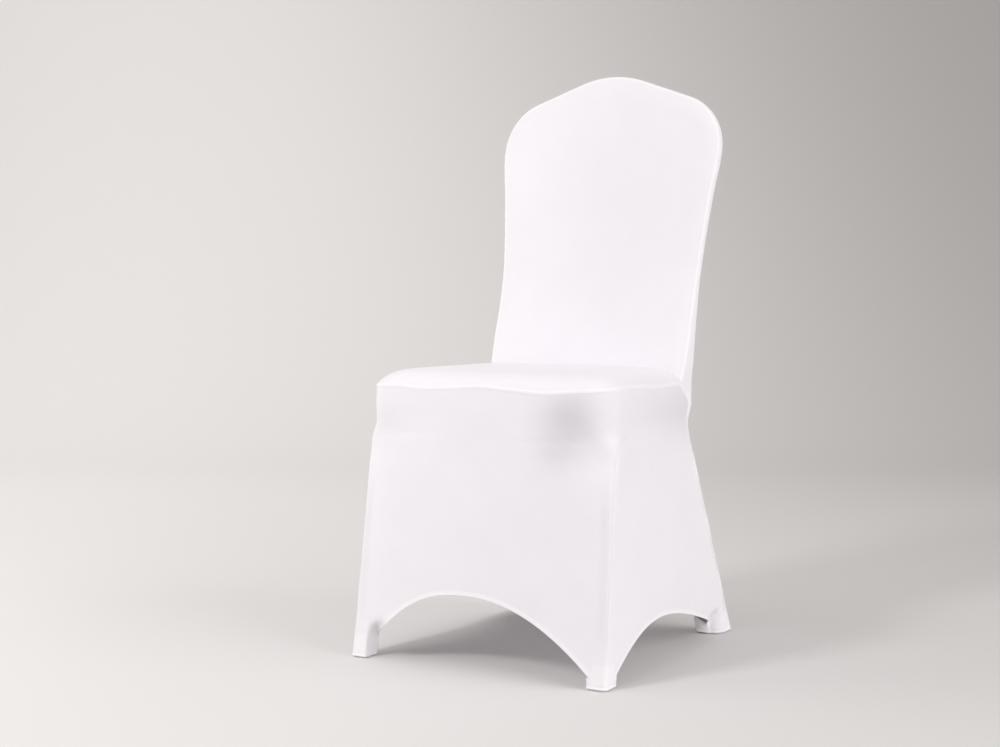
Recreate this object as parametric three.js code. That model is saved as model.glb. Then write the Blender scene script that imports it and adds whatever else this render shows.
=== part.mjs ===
// A fitted stretch cover for a chair with a crown-shaped back, in millimetres. +Z is up, the seat's front
// looks towards -Y, and the origin is on the floor under the middle of the cover. Each piece of cloth is a
// thin closed sheet: an outer surface, the same surface moved inwards by the cloth's thickness, and a wall
// along every edge.

import * as THREE from 'three';
import { mergeGeometries, mergeVertices } from 'three/addons/utils/BufferGeometryUtils.js';

// Cloth
const CLOTH = 2;
const SEAM_GAP = 0.3;
const SHARPEST_CORNER = -0.4;
const STEEPEST_LEAN = 0.45;

// Crown of the back: an apex arc, a straight slope and a shoulder arc on each side
const FULL_HEIGHT = 940;
const SHOULDER_HEIGHT = 815;
const SHOULDER_HALF = 204.5;
const APEX_RADIUS = 175;
const CROWN_SLOPE = THREE.MathUtils.degToRad(19.5);

// Back panels
const SEAT_BACK_HEIGHT = 427;
const CREASE_RISE = 14;
const CREASE_POWER = 4;
const PAD_DEPTH = 6;
const PAD_EDGE = 30;
const REAR_BOW = 1.5;
const REAR_BOW_POWER = 6;
const FACE_INSET = 9;

// Seat
const DOME_HEIGHT = 456;
const DOME_CENTRE_Y = -50;
const DOME_POWER = 12;

// Feet
const POCKET_HEIGHT = 37;
const HEM_END = 18;
const POCKET_TURN = 5;
const INNER_RIM = 28;
const RIM_STEP = 0.6;
const TURN_RIM = HEM_END - RIM_STEP;
const POCKET_CHAMFER = 4;
const POCKET_BASE_SCALE = 0.84;
const REAR_FRONT_Y = 199;
const CURL_END_Y = 205;
const CURL_SIDE_Y = 219;
const CURL_START_Y = 140;
const CURL_HALF = 192;
const CURL_DEPTH = 20;
const CURL_BOTTOM = 20;
const CURL_TOP = 48;
const WRAP_START = 150;
const WRAP_EDGE = 185.3;
const WRAP_FACE = 199.5;
const WRAP_INSIDE = 197;
const WRAP_DEPTH = 28;
const WRAP_BOTTOM = 34;
const WRAP_TOP = 75;

// Half width of the back and the y of its front seam and of its rear face, by height
const BACK = [
  { z: 427, half: 180, seam: 104, rear: 155 },
  { z: 440, half: 181.3, seam: 109.8, rear: 154 },
  { z: 460, half: 183.2, seam: 116.1, rear: 153.2 },
  { z: 500, half: 184.3, seam: 128, rear: 156 },
  { z: 540, half: 183.6, seam: 140.4, rear: 163.4 },
  { z: 580, half: 184, seam: 151.6, rear: 169.6 },
  { z: 620, half: 185.9, seam: 161.2, rear: 176.2 },
  { z: 680, half: 190.2, seam: 172, rear: 188.4 },
  { z: 740, half: 196.5, seam: 182.6, rear: 199.8 },
  { z: 815, half: 204.5, seam: 196.6, rear: 214 },
  { z: 880, half: 204.5, seam: 205.4, rear: 220 },
  { z: 940, half: 204.5, seam: 212, rear: 225.5 },
];

// Side strip of the back from its front seam to the rear face: how far it lies inside the outline, and how
// far back
const STRIP = [
  { inset: 0, back: 0 },
  { inset: -1, back: 0.42 },
  { inset: 0.6, back: 0.93 },
  { inset: FACE_INSET, back: 1 },
];

// Front of the skirt by height: y at the middle and at the corner, half width, corner radius, and how late
// the front bends back towards the corner
const SKIRT_FRONT = [
  { z: 0, middle: -246, corner: -246, half: 227, radius: 9, bend: 3 },
  { z: 50, middle: -237, corner: -238.5, half: 225.5, radius: 9, bend: 3 },
  { z: 100, middle: -232, corner: -233, half: 224.5, radius: 9, bend: 3 },
  { z: 150, middle: -231, corner: -226, half: 223.5, radius: 9, bend: 3 },
  { z: 200, middle: -230, corner: -219, half: 222.5, radius: 9, bend: 3 },
  { z: 300, middle: -230.5, corner: -206.5, half: 220.8, radius: 10, bend: 3.4 },
  { z: 340, middle: -231, corner: -199.5, half: 221.5, radius: 14, bend: 3.2 },
  { z: 356, middle: -231.5, corner: -201, half: 219.5, radius: 22, bend: 2.8 },
  { z: 372, middle: -232, corner: -207.5, half: 216, radius: 36, bend: 2.3 },
  { z: 388, middle: -232.5, corner: -213, half: 216, radius: 44, bend: 2 },
  { z: 405, middle: -233, corner: -214.5, half: 217, radius: 47, bend: 2 },
  { z: 440, middle: -233, corner: -214, half: 216, radius: 48, bend: 2 },
];

// Rear corner of the cover below the seat by height: its half width and y, how far in front of it the side
// seam runs, and how far the cloth between the rear legs stands behind them
const REAR_CORNER = [
  { z: 0, half: 212, y: 246, lead: 5, middle: 0 },
  { z: 50, half: 205.5, y: 233, lead: 5, middle: -5 },
  { z: 100, half: 199.5, y: 220, lead: 5, middle: -5 },
  { z: 150, half: 193.8, y: 207, lead: 5, middle: -3 },
  { z: 200, half: 188.5, y: 193.5, lead: 5, middle: 0 },
  { z: 250, half: 183, y: 180, lead: 5, middle: 2.5 },
  { z: 300, half: 177.4, y: 166, lead: 5, middle: 5.5 },
  { z: 340, half: 172.5, y: 155.5, lead: 5, middle: 8 },
  { z: 360, half: 172, y: 151, lead: 5, middle: 8 },
  { z: 378, half: 175, y: 149.6, lead: 5, middle: 6.5 },
  { z: 392, half: 178, y: 151, lead: 7, middle: 4 },
  { z: 410, half: 179.6, y: 153.4, lead: 28, middle: 2 },
  { z: 427, half: 180, y: 155, lead: 51, middle: REAR_BOW },
];

// Height of the wavy seam round the seat, from the left end at the back (-1) over the front's middle (0)
// to the right end (1)
const SEAT_SEAM = [
  { at: -1, z: 427 },
  { at: -0.7, z: 428 },
  { at: -0.475, z: 427.5 },
  { at: -0.39, z: 430 },
  { at: -0.28, z: 431.4 },
  { at: -0.18, z: 429 },
  { at: -0.09, z: 431.3 },
  { at: 0, z: 434.8 },
  { at: 0.09, z: 432.1 },
  { at: 0.2, z: 428.3 },
  { at: 0.31, z: 431.9 },
  { at: 0.475, z: 435.6 },
  { at: 0.64, z: 432.6 },
  { at: 0.8, z: 429 },
  { at: 1, z: 427 },
];
const SEAM_AT_TANGENT = 0.31;
const SEAM_AT_SIDE = 0.475;

// Arched hems: place and height of the top, the ends, and how round each half is
const FRONT_ARCH = { peakAt: -15, top: 114.5, ends: [-197, 197], powers: [2.7, 1.9] };
const RIGHT_ARCH = { peakAt: -30, top: 74, ends: [-214, 203], powers: [2.2, 1.7] };
const LEFT_ARCH = { peakAt: -40, top: 71, ends: [-214, 203], powers: [1.9, 1.5] };
const REAR_ARCH = { peakAt: 0, top: 104, ends: [-164, 164], powers: [2.2, 2.2] };

// Columns of points: fractions of the half width of the back, of the skirt's front and of its side. The
// hem ends at POCKET_EDGE, and the seam round the pocket's top starts at POCKET_LINE. At the front left foot
// the hem wraps on to the leg's inner side.
const BACK_COLUMNS = [0, 0.13, 0.26, 0.39, 0.52, 0.64, 0.75, 0.855, 0.887, 0.92, 0.95, 0.98, 1];
const FRONT_COLUMNS = [0, 0.18, 0.35, 0.51, 0.65, 0.75, 0.81, 0.85, 0.87, 0.89, 0.908, 0.938];
const CORNER_STEPS = 4;
const SIDE_COLUMNS = [0, 0.035, 0.048, 0.15, 0.28, 0.42, 0.56, 0.69, 0.8, 0.87, 0.9205, 0.94, 1];
const POCKET_EDGE = { back: 0.855, front: 0.908, frontLeft: 0.85, sideFront: 0.048, sideRear: 0.9205 };
const POCKET_LINE = { back: 0.887, front: 0.938, frontLeft: 0.87, sideFront: 0.035, sideRear: 0.94 };

// Rows of points: fractions of the height of the back, and of the skirt from its top seam to its hem
const BACK_ROWS = [0, 0.09, 0.19, 0.3, 0.42, 0.54, 0.66, 0.78, 0.87, 0.93, 0.97, 1];
const SKIRT_ROWS = [0, 0.045, 0.09, 0.13, 0.17, 0.21, 0.28, 0.38, 0.52, 0.66, 0.78, 0.87, 0.93, 0.97, 1];
const SEAT_RINGS = [1, 0.975, 0.94, 0.88, 0.78, 0.55, 0];

const WHITE_STRETCH = { color: 0xf1edf0, roughness: 0.82, metalness: 0 };
const WHITE_DOUBLED = { color: 0xf6f3f6, roughness: 0.8, metalness: 0 };

// Smooth value of one column of a table, without overshoot between its rows
function tableCurve(rows, by, key) {
  const slopes = rows.map((row, i) => {
    if (i === 0 || i === rows.length - 1) return 0;
    const before = (row[key] - rows[i - 1][key]) / (row[by] - rows[i - 1][by]);
    const after = (rows[i + 1][key] - row[key]) / (rows[i + 1][by] - row[by]);
    return before * after <= 0 ? 0 : (2 * before * after) / (before + after);
  });
  const end = rows.length - 1;
  slopes[0] = (rows[1][key] - rows[0][key]) / (rows[1][by] - rows[0][by]);
  slopes[end] = (rows[end][key] - rows[end - 1][key]) / (rows[end][by] - rows[end - 1][by]);
  return (at) => {
    let i = 0;
    while (i < end - 1 && at > rows[i + 1][by]) i += 1;
    const span = rows[i + 1][by] - rows[i][by];
    const t = THREE.MathUtils.clamp((at - rows[i][by]) / span, 0, 1);
    const t2 = t * t;
    const t3 = t2 * t;
    return (2 * t3 - 3 * t2 + 1) * rows[i][key] + (t3 - 2 * t2 + t) * span * slopes[i]
      + (3 * t2 - 2 * t3) * rows[i + 1][key] + (t3 - t2) * span * slopes[i + 1];
  };
}

function tableCurves(rows, by) {
  const keys = Object.keys(rows[0]).filter((key) => key !== by);
  return Object.fromEntries(keys.map((key) => [key, tableCurve(rows, by, key)]));
}

const back = tableCurves(BACK, 'z');
const skirtFront = tableCurves(SKIRT_FRONT, 'z');
const rearCorner = tableCurves(REAR_CORNER, 'z');
const seatSeam = tableCurves(SEAT_SEAM, 'at');

const mix = THREE.MathUtils.lerp;
const mirrored = (fractions) => [...fractions.slice(1).reverse().map((f) => -f), ...fractions];

// Height of a hem at a place along it
function archHeight(arch, at) {
  const side = at < arch.peakAt ? 0 : 1;
  const reach = Math.min(1, Math.abs((at - arch.peakAt) / (arch.ends[side] - arch.peakAt)));
  return HEM_END + (arch.top - HEM_END) * (1 - reach ** arch.powers[side]);
}

// Crown: where its apex arc ends, the shoulder arc that meets the slope, and the outline's height and
// normal
const slopeNormal = new THREE.Vector2(Math.sin(CROWN_SLOPE), Math.cos(CROWN_SLOPE));
const slopeLevel = slopeNormal.y * (FULL_HEIGHT - APEX_RADIUS) + APEX_RADIUS;
const shoulderRadius = (slopeLevel - slopeNormal.x * SHOULDER_HALF - slopeNormal.y * SHOULDER_HEIGHT)
  / (1 - slopeNormal.x);
const shoulderCentre = SHOULDER_HALF - shoulderRadius;

function crownOutline(across) {
  const x = Math.abs(across) * SHOULDER_HALF;
  const normal = new THREE.Vector2();
  let height;
  if (x < slopeNormal.x * APEX_RADIUS) {
    height = FULL_HEIGHT - APEX_RADIUS + Math.sqrt(APEX_RADIUS ** 2 - x ** 2);
    normal.set(x, height - FULL_HEIGHT + APEX_RADIUS);
  } else if (x < shoulderCentre + slopeNormal.x * shoulderRadius) {
    height = (slopeLevel - slopeNormal.x * x) / slopeNormal.y;
    normal.copy(slopeNormal);
  } else {
    height = SHOULDER_HEIGHT + Math.sqrt(Math.max(0, shoulderRadius ** 2 - (x - shoulderCentre) ** 2));
    normal.set(x - shoulderCentre, height - SHOULDER_HEIGHT);
  }
  normal.normalize();
  normal.x *= Math.sign(across);
  return { x: x * Math.sign(across), z: height, normal };
}

// How far a padded face has risen at a distance from its edge, from 0 to 1
function padRise(distance) {
  const left = 1 - Math.min(Math.max(distance, 0) / PAD_EDGE, 1);
  return 1 - left * left;
}

const creaseHeight = (across) => SEAT_BACK_HEIGHT + CREASE_RISE * (1 - across ** CREASE_POWER);

function insideBackPoint(across, up) {
  const top = crownOutline(across);
  const z = mix(creaseHeight(across), top.z, up);
  const half = back.half(Math.min(z, SHOULDER_HEIGHT));
  const pad = PAD_DEPTH * padRise((1 - Math.abs(across)) * half) * padRise(top.z - z);
  return new THREE.Vector3(across * half, back.seam(z) - pad, z);
}

// Side strip of the back, at a height of its front seam
function sideStripPoint(side, up, step) {
  const z = mix(SEAT_BACK_HEIGHT, SHOULDER_HEIGHT, up);
  const { inset, back: along } = STRIP[step];
  return new THREE.Vector3(side * (back.half(z) - inset), mix(back.seam(z), back.rear(z), along), z);
}

function crownStripPoint(across, step) {
  const top = crownOutline(across);
  const { inset, back: along } = STRIP[step];
  const y = mix(back.seam(top.z), back.rear(top.z), along);
  return new THREE.Vector3(top.x - inset * top.normal.x, y, top.z - inset * top.normal.y);
}

function rearFacePoint(across, up) {
  const top = crownStripPoint(across, STRIP.length - 1);
  const z = mix(SEAT_BACK_HEIGHT, top.z, up);
  const half = back.half(Math.min(z, SHOULDER_HEIGHT)) - FACE_INSET;
  const fullHalf = SHOULDER_HALF - FACE_INSET;
  const x = mix(across * fullHalf, top.x, up) * (half / fullHalf);
  return new THREE.Vector3(x, back.rear(z) + REAR_BOW * (1 - across ** 2) * (1 - up ** REAR_BOW_POWER), z);
}

// Lower part of the outside back: the wrap round each rear corner and the face between the rear legs
function lowerWrapPoint(side, z, step) {
  const { inset, back: along } = STRIP[step];
  const y = rearCorner.y(z) - rearCorner.lead(z) * (1 - along);
  return new THREE.Vector3(side * (rearCorner.half(z) - inset), y, z);
}

function lowerFacePoint(across, z) {
  const half = rearCorner.half(z) - FACE_INSET;
  const bow = rearCorner.middle(z) * (1 - across ** 2);
  return new THREE.Vector3(across * half, rearCorner.y(z) + bow, z);
}

function rearHemHeight(across) {
  if (Math.abs(across) >= POCKET_LINE.back) return POCKET_HEIGHT;
  return archHeight(REAR_ARCH, across * (REAR_ARCH.ends[1] / POCKET_EDGE.back));
}

// Skirt: a column is a place on the front, the corner or the side, on one half
const skirtHalf = [
  ...FRONT_COLUMNS.map((along) => ({ part: 'front', along })),
  ...Array.from({ length: CORNER_STEPS + 1 }, (_, i) => ({ part: 'corner', along: i / CORNER_STEPS })),
  ...SIDE_COLUMNS.slice(1).map((along) => ({ part: 'side', along })),
];
const skirtColumns = [
  ...skirtHalf.slice(1).reverse().map((column) => ({ ...column, side: -1 })),
  ...skirtHalf.map((column) => ({ ...column, side: 1 })),
];

// Near the rear foot the side's cloth curls round the leg's front corner
function curl(point) {
  const low = 1 - THREE.MathUtils.smoothstep(point.z, CURL_BOTTOM, CURL_TOP);
  if (point.y <= CURL_START_Y || point.y >= CURL_SIDE_Y) return;
  if (point.y < CURL_END_Y) {
    const drawn = low * THREE.MathUtils.smoothstep(point.y, CURL_START_Y, CURL_END_Y);
    point.x -= drawn * CURL_DEPTH;
    point.y -= drawn * (CURL_END_Y - REAR_FRONT_Y);
    return;
  }
  const angle = ((point.y - CURL_END_Y) / (CURL_SIDE_Y - CURL_END_Y)) * (Math.PI / 2);
  point.x = mix(point.x, CURL_HALF + CURL_DEPTH * Math.sin(angle), low);
  point.y = mix(point.y, CURL_SIDE_Y - (CURL_SIDE_Y - REAR_FRONT_Y) * Math.cos(angle), low);
}

// Near the front left foot the front's cloth wraps round the leg's inner side
function wrapFoot(point) {
  const low = 1 - THREE.MathUtils.smoothstep(point.z, WRAP_BOTTOM, WRAP_TOP);
  if (point.x <= WRAP_START || point.x >= WRAP_FACE) return;
  if (point.x < WRAP_EDGE) {
    const drawn = low * THREE.MathUtils.smoothstep(point.x, WRAP_START, WRAP_EDGE);
    point.x += drawn * (WRAP_INSIDE - WRAP_EDGE);
    point.y += drawn * WRAP_DEPTH;
    return;
  }
  const angle = ((WRAP_FACE - point.x) / (WRAP_FACE - WRAP_EDGE)) * (Math.PI / 2);
  point.x = mix(point.x, WRAP_FACE - (WRAP_FACE - WRAP_INSIDE) * Math.sin(angle), low);
  point.y += low * WRAP_DEPTH * (1 - Math.cos(angle));
}

function skirtPoint({ part, along, side }, z) {
  const half = skirtFront.half(z);
  const corner = new THREE.Vector2(half, skirtFront.corner(z));
  const seam = new THREE.Vector2(rearCorner.half(z), rearCorner.y(z) - rearCorner.lead(z));
  const radius = skirtFront.radius(z);
  const tangentX = half - radius;
  const bow = skirtFront.middle(z) - corner.y;
  const frontY = (x) => corner.y + bow * (1 - (x / half) ** skirtFront.bend(z));
  const start = new THREE.Vector2(tangentX, frontY(tangentX));
  const end = seam.clone().sub(corner).setLength(radius).add(corner);
  const place = new THREE.Vector2();
  if (part === 'front') place.set(along * tangentX, frontY(along * tangentX));
  if (part === 'corner') place.copy(new THREE.QuadraticBezierCurve(start, corner, end).getPoint(along));
  if (part === 'side') place.lerpVectors(end, seam, along);
  const point = new THREE.Vector3(place.x, place.y, z);
  curl(point);
  if (side < 0 && part === 'front') wrapFoot(point);
  point.x *= side;
  return point;
}

function seamHeight({ part, along, side }) {
  if (part === 'front') return seatSeam.z(side * along * SEAM_AT_TANGENT);
  if (part === 'corner') return seatSeam.z(side * mix(SEAM_AT_TANGENT, SEAM_AT_SIDE, along));
  return seatSeam.z(side * mix(SEAM_AT_SIDE, 1, along));
}

function skirtHemHeight(column) {
  const { part, along, side } = column;
  if (part === 'corner') return POCKET_HEIGHT;
  if (part === 'front') {
    if (along >= (side < 0 ? POCKET_LINE.frontLeft : POCKET_LINE.front)) return POCKET_HEIGHT;
    return archHeight(FRONT_ARCH, side * along * (FRONT_ARCH.ends[1] / POCKET_EDGE.front));
  }
  if (along <= POCKET_LINE.sideFront || along >= POCKET_LINE.sideRear) return POCKET_HEIGHT;
  const arch = side < 0 ? LEFT_ARCH : RIGHT_ARCH;
  const reach = (along - POCKET_EDGE.sideFront) / (POCKET_EDGE.sideRear - POCKET_EDGE.sideFront);
  return archHeight(arch, mix(arch.ends[0], arch.ends[1], reach));
}

// One patch of surface from rows of points, seen from outside with the rows going up and the columns to
// the right
function patch(rows) {
  const columns = rows[0].length;
  const geometry = new THREE.BufferGeometry().setFromPoints(rows.flat());
  const index = [];
  for (let i = 0; i < rows.length - 1; i += 1) {
    for (let j = 0; j < columns - 1; j += 1) {
      const a = i * columns + j;
      const b = a + 1;
      const c = b + columns;
      const d = a + columns;
      index.push(a, b, c, a, c, d);
    }
  }
  geometry.setIndex(index);
  return geometry;
}

// Patches that share edges become one welded surface
function surface(...patches) {
  const welded = mergeVertices(mergeGeometries(patches));
  const index = welded.getIndex().array;
  const kept = [];
  for (let i = 0; i < index.length; i += 3) {
    const [a, b, c] = index.subarray(i, i + 3);
    if (a !== b && b !== c && c !== a) kept.push(a, b, c);
  }
  welded.setIndex(kept);
  welded.computeVertexNormals();
  return welded;
}

const pointsOf = (geometry, name) => {
  const attribute = geometry.getAttribute(name);
  const numbers = Array.from({ length: attribute.count }, (_, i) => i);
  return numbers.map((i) => new THREE.Vector3().fromBufferAttribute(attribute, i));
};

// Edges that only one triangle has, as a map from each edge's first vertex to its second
function openEdges(geometry) {
  const index = geometry.getIndex().array;
  const seen = new Set();
  for (let i = 0; i < index.length; i += 3) {
    for (let k = 0; k < 3; k += 1) seen.add(`${index[i + k]} ${index[i + ((k + 1) % 3)]}`);
  }
  const next = new Map();
  for (const edge of seen) {
    const [a, b] = edge.split(' ').map(Number);
    if (!seen.has(`${b} ${a}`)) next.set(a, b);
  }
  return next;
}

const placeKey = (point) => point.toArray().map((value) => Math.round(value * 10)).join(' ');

// Mean normal of all the pieces that meet at each place along their edges
function meetingNormals(surfaces) {
  const sums = new Map();
  for (const geometry of surfaces) {
    const points = pointsOf(geometry, 'position');
    const normals = pointsOf(geometry, 'normal');
    for (const i of openEdges(geometry).keys()) {
      const key = placeKey(points[i]);
      sums.set(key, (sums.get(key) ?? new THREE.Vector3()).add(normals[i]));
    }
  }
  return sums;
}

// A closed sheet of cloth below a surface. Along its edges it stands back by half a seam's gap, and its
// wall leans with the fold between the pieces that meet there.
function sheet(geometry, meetings) {
  const points = pointsOf(geometry, 'position');
  const normals = pointsOf(geometry, 'normal');
  const next = openEdges(geometry);
  const before = new Map([...next].map(([a, b]) => [b, a]));
  const outer = points.map((point) => point.clone());
  const inner = points.map((point, i) => point.clone().addScaledVector(normals[i], -CLOTH));
  for (const [i, after] of next) {
    const inward = [[before.get(i), i], [i, after]].map(([a, b]) => {
      const along = points[b].clone().sub(points[a]);
      return normals[i].clone().cross(along).normalize();
    });
    const spread = 1 + Math.max(inward[0].dot(inward[1]), SHARPEST_CORNER);
    const standBack = inward[0].clone().add(inward[1]).multiplyScalar(SEAM_GAP / 2 / spread);
    const lean = meetings.get(placeKey(points[i])).clone().normalize();
    const depth = CLOTH / Math.max(lean.dot(normals[i]), STEEPEST_LEAN);
    outer[i].add(standBack);
    inner[i].copy(outer[i]).addScaledVector(lean, -depth);
  }
  const shift = points.length;
  const faces = Array.from(geometry.getIndex().array);
  const index = [...faces];
  for (let i = 0; i < faces.length; i += 3) {
    index.push(faces[i] + shift, faces[i + 2] + shift, faces[i + 1] + shift);
  }
  for (const [a, b] of next) {
    // Pieces that meet split their facing walls along the same diagonal
    if (placeKey(points[a]) < placeKey(points[b])) index.push(b, a, b + shift, a, a + shift, b + shift);
    else index.push(b, a, a + shift, b, a + shift, b + shift);
  }
  const solid = new THREE.BufferGeometry().setFromPoints([...outer, ...inner]);
  solid.setIndex(index);
  solid.computeVertexNormals();
  return solid;
}

const acrossBack = mirrored(BACK_COLUMNS);
const seatRim = skirtColumns.map((column) => skirtPoint(column, seamHeight(column)));

function insideBack() {
  return surface(patch(BACK_ROWS.map((up) => acrossBack.map((across) => insideBackPoint(across, up)))));
}

function outsideBack() {
  const rearward = [...acrossBack].reverse();
  const steps = STRIP.map((_, step) => step);
  const upper = BACK_ROWS.map((up) => [
    ...steps.map((step) => sideStripPoint(1, up, step)),
    ...rearward.slice(1, -1).map((across) => rearFacePoint(across, up)),
    ...[...steps].reverse().map((step) => sideStripPoint(-1, up, step)),
  ]);
  const crown = [...steps].reverse().map((step) => rearward.map((across) => crownStripPoint(across, step)));
  const lower = [...SKIRT_ROWS].reverse().map((down) => {
    const cornerZ = mix(SEAT_BACK_HEIGHT, POCKET_HEIGHT, down);
    return [
      ...steps.map((step) => lowerWrapPoint(1, cornerZ, step)),
      ...rearward.slice(1, -1).map((across) => {
        return lowerFacePoint(across, mix(SEAT_BACK_HEIGHT, rearHemHeight(across), down));
      }),
      ...[...steps].reverse().map((step) => lowerWrapPoint(-1, cornerZ, step)),
    ];
  });
  return surface(patch(lower), patch(upper), patch(crown));
}

function seat() {
  const crease = acrossBack.slice(1, -1).reverse().map((across) => insideBackPoint(across, 0));
  const rim = [...seatRim, ...crease, seatRim[0]];
  const centre = new THREE.Vector3(0, DOME_CENTRE_Y, DOME_HEIGHT);
  return surface(patch(SEAT_RINGS.map((ring) => rim.map((point) => {
    const place = new THREE.Vector3().lerpVectors(centre, point, ring);
    place.z = mix(point.z, DOME_HEIGHT, 1 - ring ** DOME_POWER);
    return place;
  }))));
}

function skirt() {
  return surface(patch([...SKIRT_ROWS].reverse().map((down) => skirtColumns.map((column) => {
    return skirtPoint(column, mix(seamHeight(column), skirtHemHeight(column), down));
  }))));
}

// A column of a foot pocket is a function from height to point, with the height of its rim. Pockets are
// worked out on the right and mirrored for the left.
function skirtPocketColumn(column) {
  const toRight = new THREE.Vector3(column.side, 1, 1);
  return { rim: skirtHemHeight(column), at: (z) => skirtPoint(column, z).multiply(toRight) };
}

function frontPocketColumns(side) {
  const edge = side < 0 ? POCKET_EDGE.frontLeft : POCKET_EDGE.front;
  const shared = skirtHalf.filter(({ part, along }) => part === 'corner'
    || (part === 'front' && along >= edge)
    || (part === 'side' && along <= POCKET_EDGE.sideFront));
  return shared.map((column) => skirtPocketColumn({ ...column, side }));
}

function rearPocketColumns() {
  const shared = SIDE_COLUMNS.filter((along) => along >= POCKET_EDGE.sideRear);
  const across = [...BACK_COLUMNS].reverse().slice(1).filter((f) => f >= POCKET_EDGE.back);
  return [
    ...shared.map((along) => skirtPocketColumn({ part: 'side', along, side: 1 })),
    ...STRIP.slice(1).map((_, step) => ({ rim: POCKET_HEIGHT, at: (z) => lowerWrapPoint(1, z, step + 1) })),
    ...across.map((f) => ({ rim: rearHemHeight(f), at: (z) => lowerFacePoint(f, z) })),
  ];
}

// The walls that close a pocket on its inner side, from the last outer column round to the first. Each
// turn is the corner between two straight walls.
function innerPocketColumns(outer, turns) {
  return turns.flatMap(({ rim, from, corner, to }) => [0, 0.5, 1].map((t) => ({
    rim,
    at: (z) => {
      const places = [from, corner, to].map((place) => {
        const [x, y] = place(outer.at(-1).at(z), outer[0].at(z));
        return new THREE.Vector2(x, y);
      });
      const flat = new THREE.QuadraticBezierCurve(...places).getPoint(t);
      return new THREE.Vector3(flat.x, flat.y, z);
    },
  })));
}

// Places round a pocket's inner side: p is where its outer wall ends and q where it starts
const frontPocketTurns = [
  {
    rim: TURN_RIM,
    from: (p) => [p.x, p.y + RIM_STEP],
    corner: (p) => [p.x, p.y + POCKET_TURN],
    to: (p) => [p.x - POCKET_TURN, p.y + POCKET_TURN],
  },
  {
    rim: INNER_RIM,
    from: (p, q) => [q.x, p.y + POCKET_TURN],
    corner: (p, q) => [q.x - POCKET_TURN, p.y + POCKET_TURN],
    to: (p, q) => [q.x - POCKET_TURN, p.y],
  },
  {
    rim: TURN_RIM,
    from: (p, q) => [q.x - POCKET_TURN, q.y + POCKET_TURN],
    corner: (p, q) => [q.x - POCKET_TURN, q.y],
    to: (p, q) => [q.x - RIM_STEP, q.y],
  },
];
const wrappedPocketTurns = [
  {
    rim: TURN_RIM,
    from: (p) => [p.x, p.y + RIM_STEP],
    corner: (p) => [p.x, p.y + POCKET_TURN],
    to: (p) => [p.x - POCKET_TURN, p.y + POCKET_TURN],
  },
  {
    rim: TURN_RIM,
    from: (p, q) => [q.x + POCKET_TURN, q.y + POCKET_TURN],
    corner: (p, q) => [q.x, q.y + POCKET_TURN],
    to: (p, q) => [q.x, q.y + RIM_STEP],
  },
];
const rearPocketTurns = [
  {
    rim: TURN_RIM,
    from: (p) => [p.x - RIM_STEP, p.y],
    corner: (p) => [p.x - POCKET_TURN, p.y],
    to: (p) => [p.x - POCKET_TURN, p.y - POCKET_TURN],
  },
  {
    rim: INNER_RIM,
    from: (p, q) => [p.x - POCKET_TURN, q.y + POCKET_TURN],
    corner: (p, q) => [p.x - POCKET_TURN, q.y],
    to: (p, q) => [p.x, q.y],
  },
];

function pocket(outer, turns, side) {
  const columns = [...outer, ...innerPocketColumns(outer, turns), outer[0]];
  const base = columns.map((column) => column.at(0));
  const centre = new THREE.Box3().setFromPoints(base).getCenter(new THREE.Vector3());
  const bottom = base.map((point) => new THREE.Vector3().lerpVectors(centre, point, POCKET_BASE_SCALE));
  const rows = [
    columns.map(() => centre),
    bottom,
    columns.map((column) => column.at(POCKET_CHAMFER)),
    columns.map((column) => column.at(mix(POCKET_CHAMFER, column.rim, 0.5))),
    columns.map((column) => column.at(column.rim)),
  ];
  if (side > 0) return surface(patch(rows));
  const mirror = (point) => new THREE.Vector3(-point.x, point.y, point.z);
  return surface(patch(rows.map((row) => row.map(mirror).reverse())));
}

const surfaces = {
  inside_back_panel: insideBack(),
  outside_back_panel: outsideBack(),
  seat_panel: seat(),
  skirt_panel: skirt(),
  front_left_foot_pocket: pocket(frontPocketColumns(-1), wrappedPocketTurns, -1),
  front_right_foot_pocket: pocket(frontPocketColumns(1), frontPocketTurns, 1),
  rear_left_foot_pocket: pocket(rearPocketColumns(), rearPocketTurns, -1),
  rear_right_foot_pocket: pocket(rearPocketColumns(), rearPocketTurns, 1),
};

const cover = new THREE.Group();
const meetings = meetingNormals(Object.values(surfaces));
for (const [name, geometry] of Object.entries(surfaces)) {
  const finish = name.endsWith('pocket') ? WHITE_DOUBLED : WHITE_STRETCH;
  const mesh = new THREE.Mesh(sheet(geometry, meetings), new THREE.MeshStandardMaterial(finish));
  mesh.name = name;
  cover.add(mesh);
}

export default cover;
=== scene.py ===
"""A fitted white stretch cover with a crown-shaped back, dressed as sewn cloth around its solids."""

import logging
import math
from dataclasses import dataclass, field
from enum import Enum
from typing import Callable, NamedTuple, Sequence

import bpy
import numpy as np
from mathutils import Matrix, Vector
from mathutils.bvhtree import BVHTree
from mathutils.kdtree import KDTree


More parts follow.
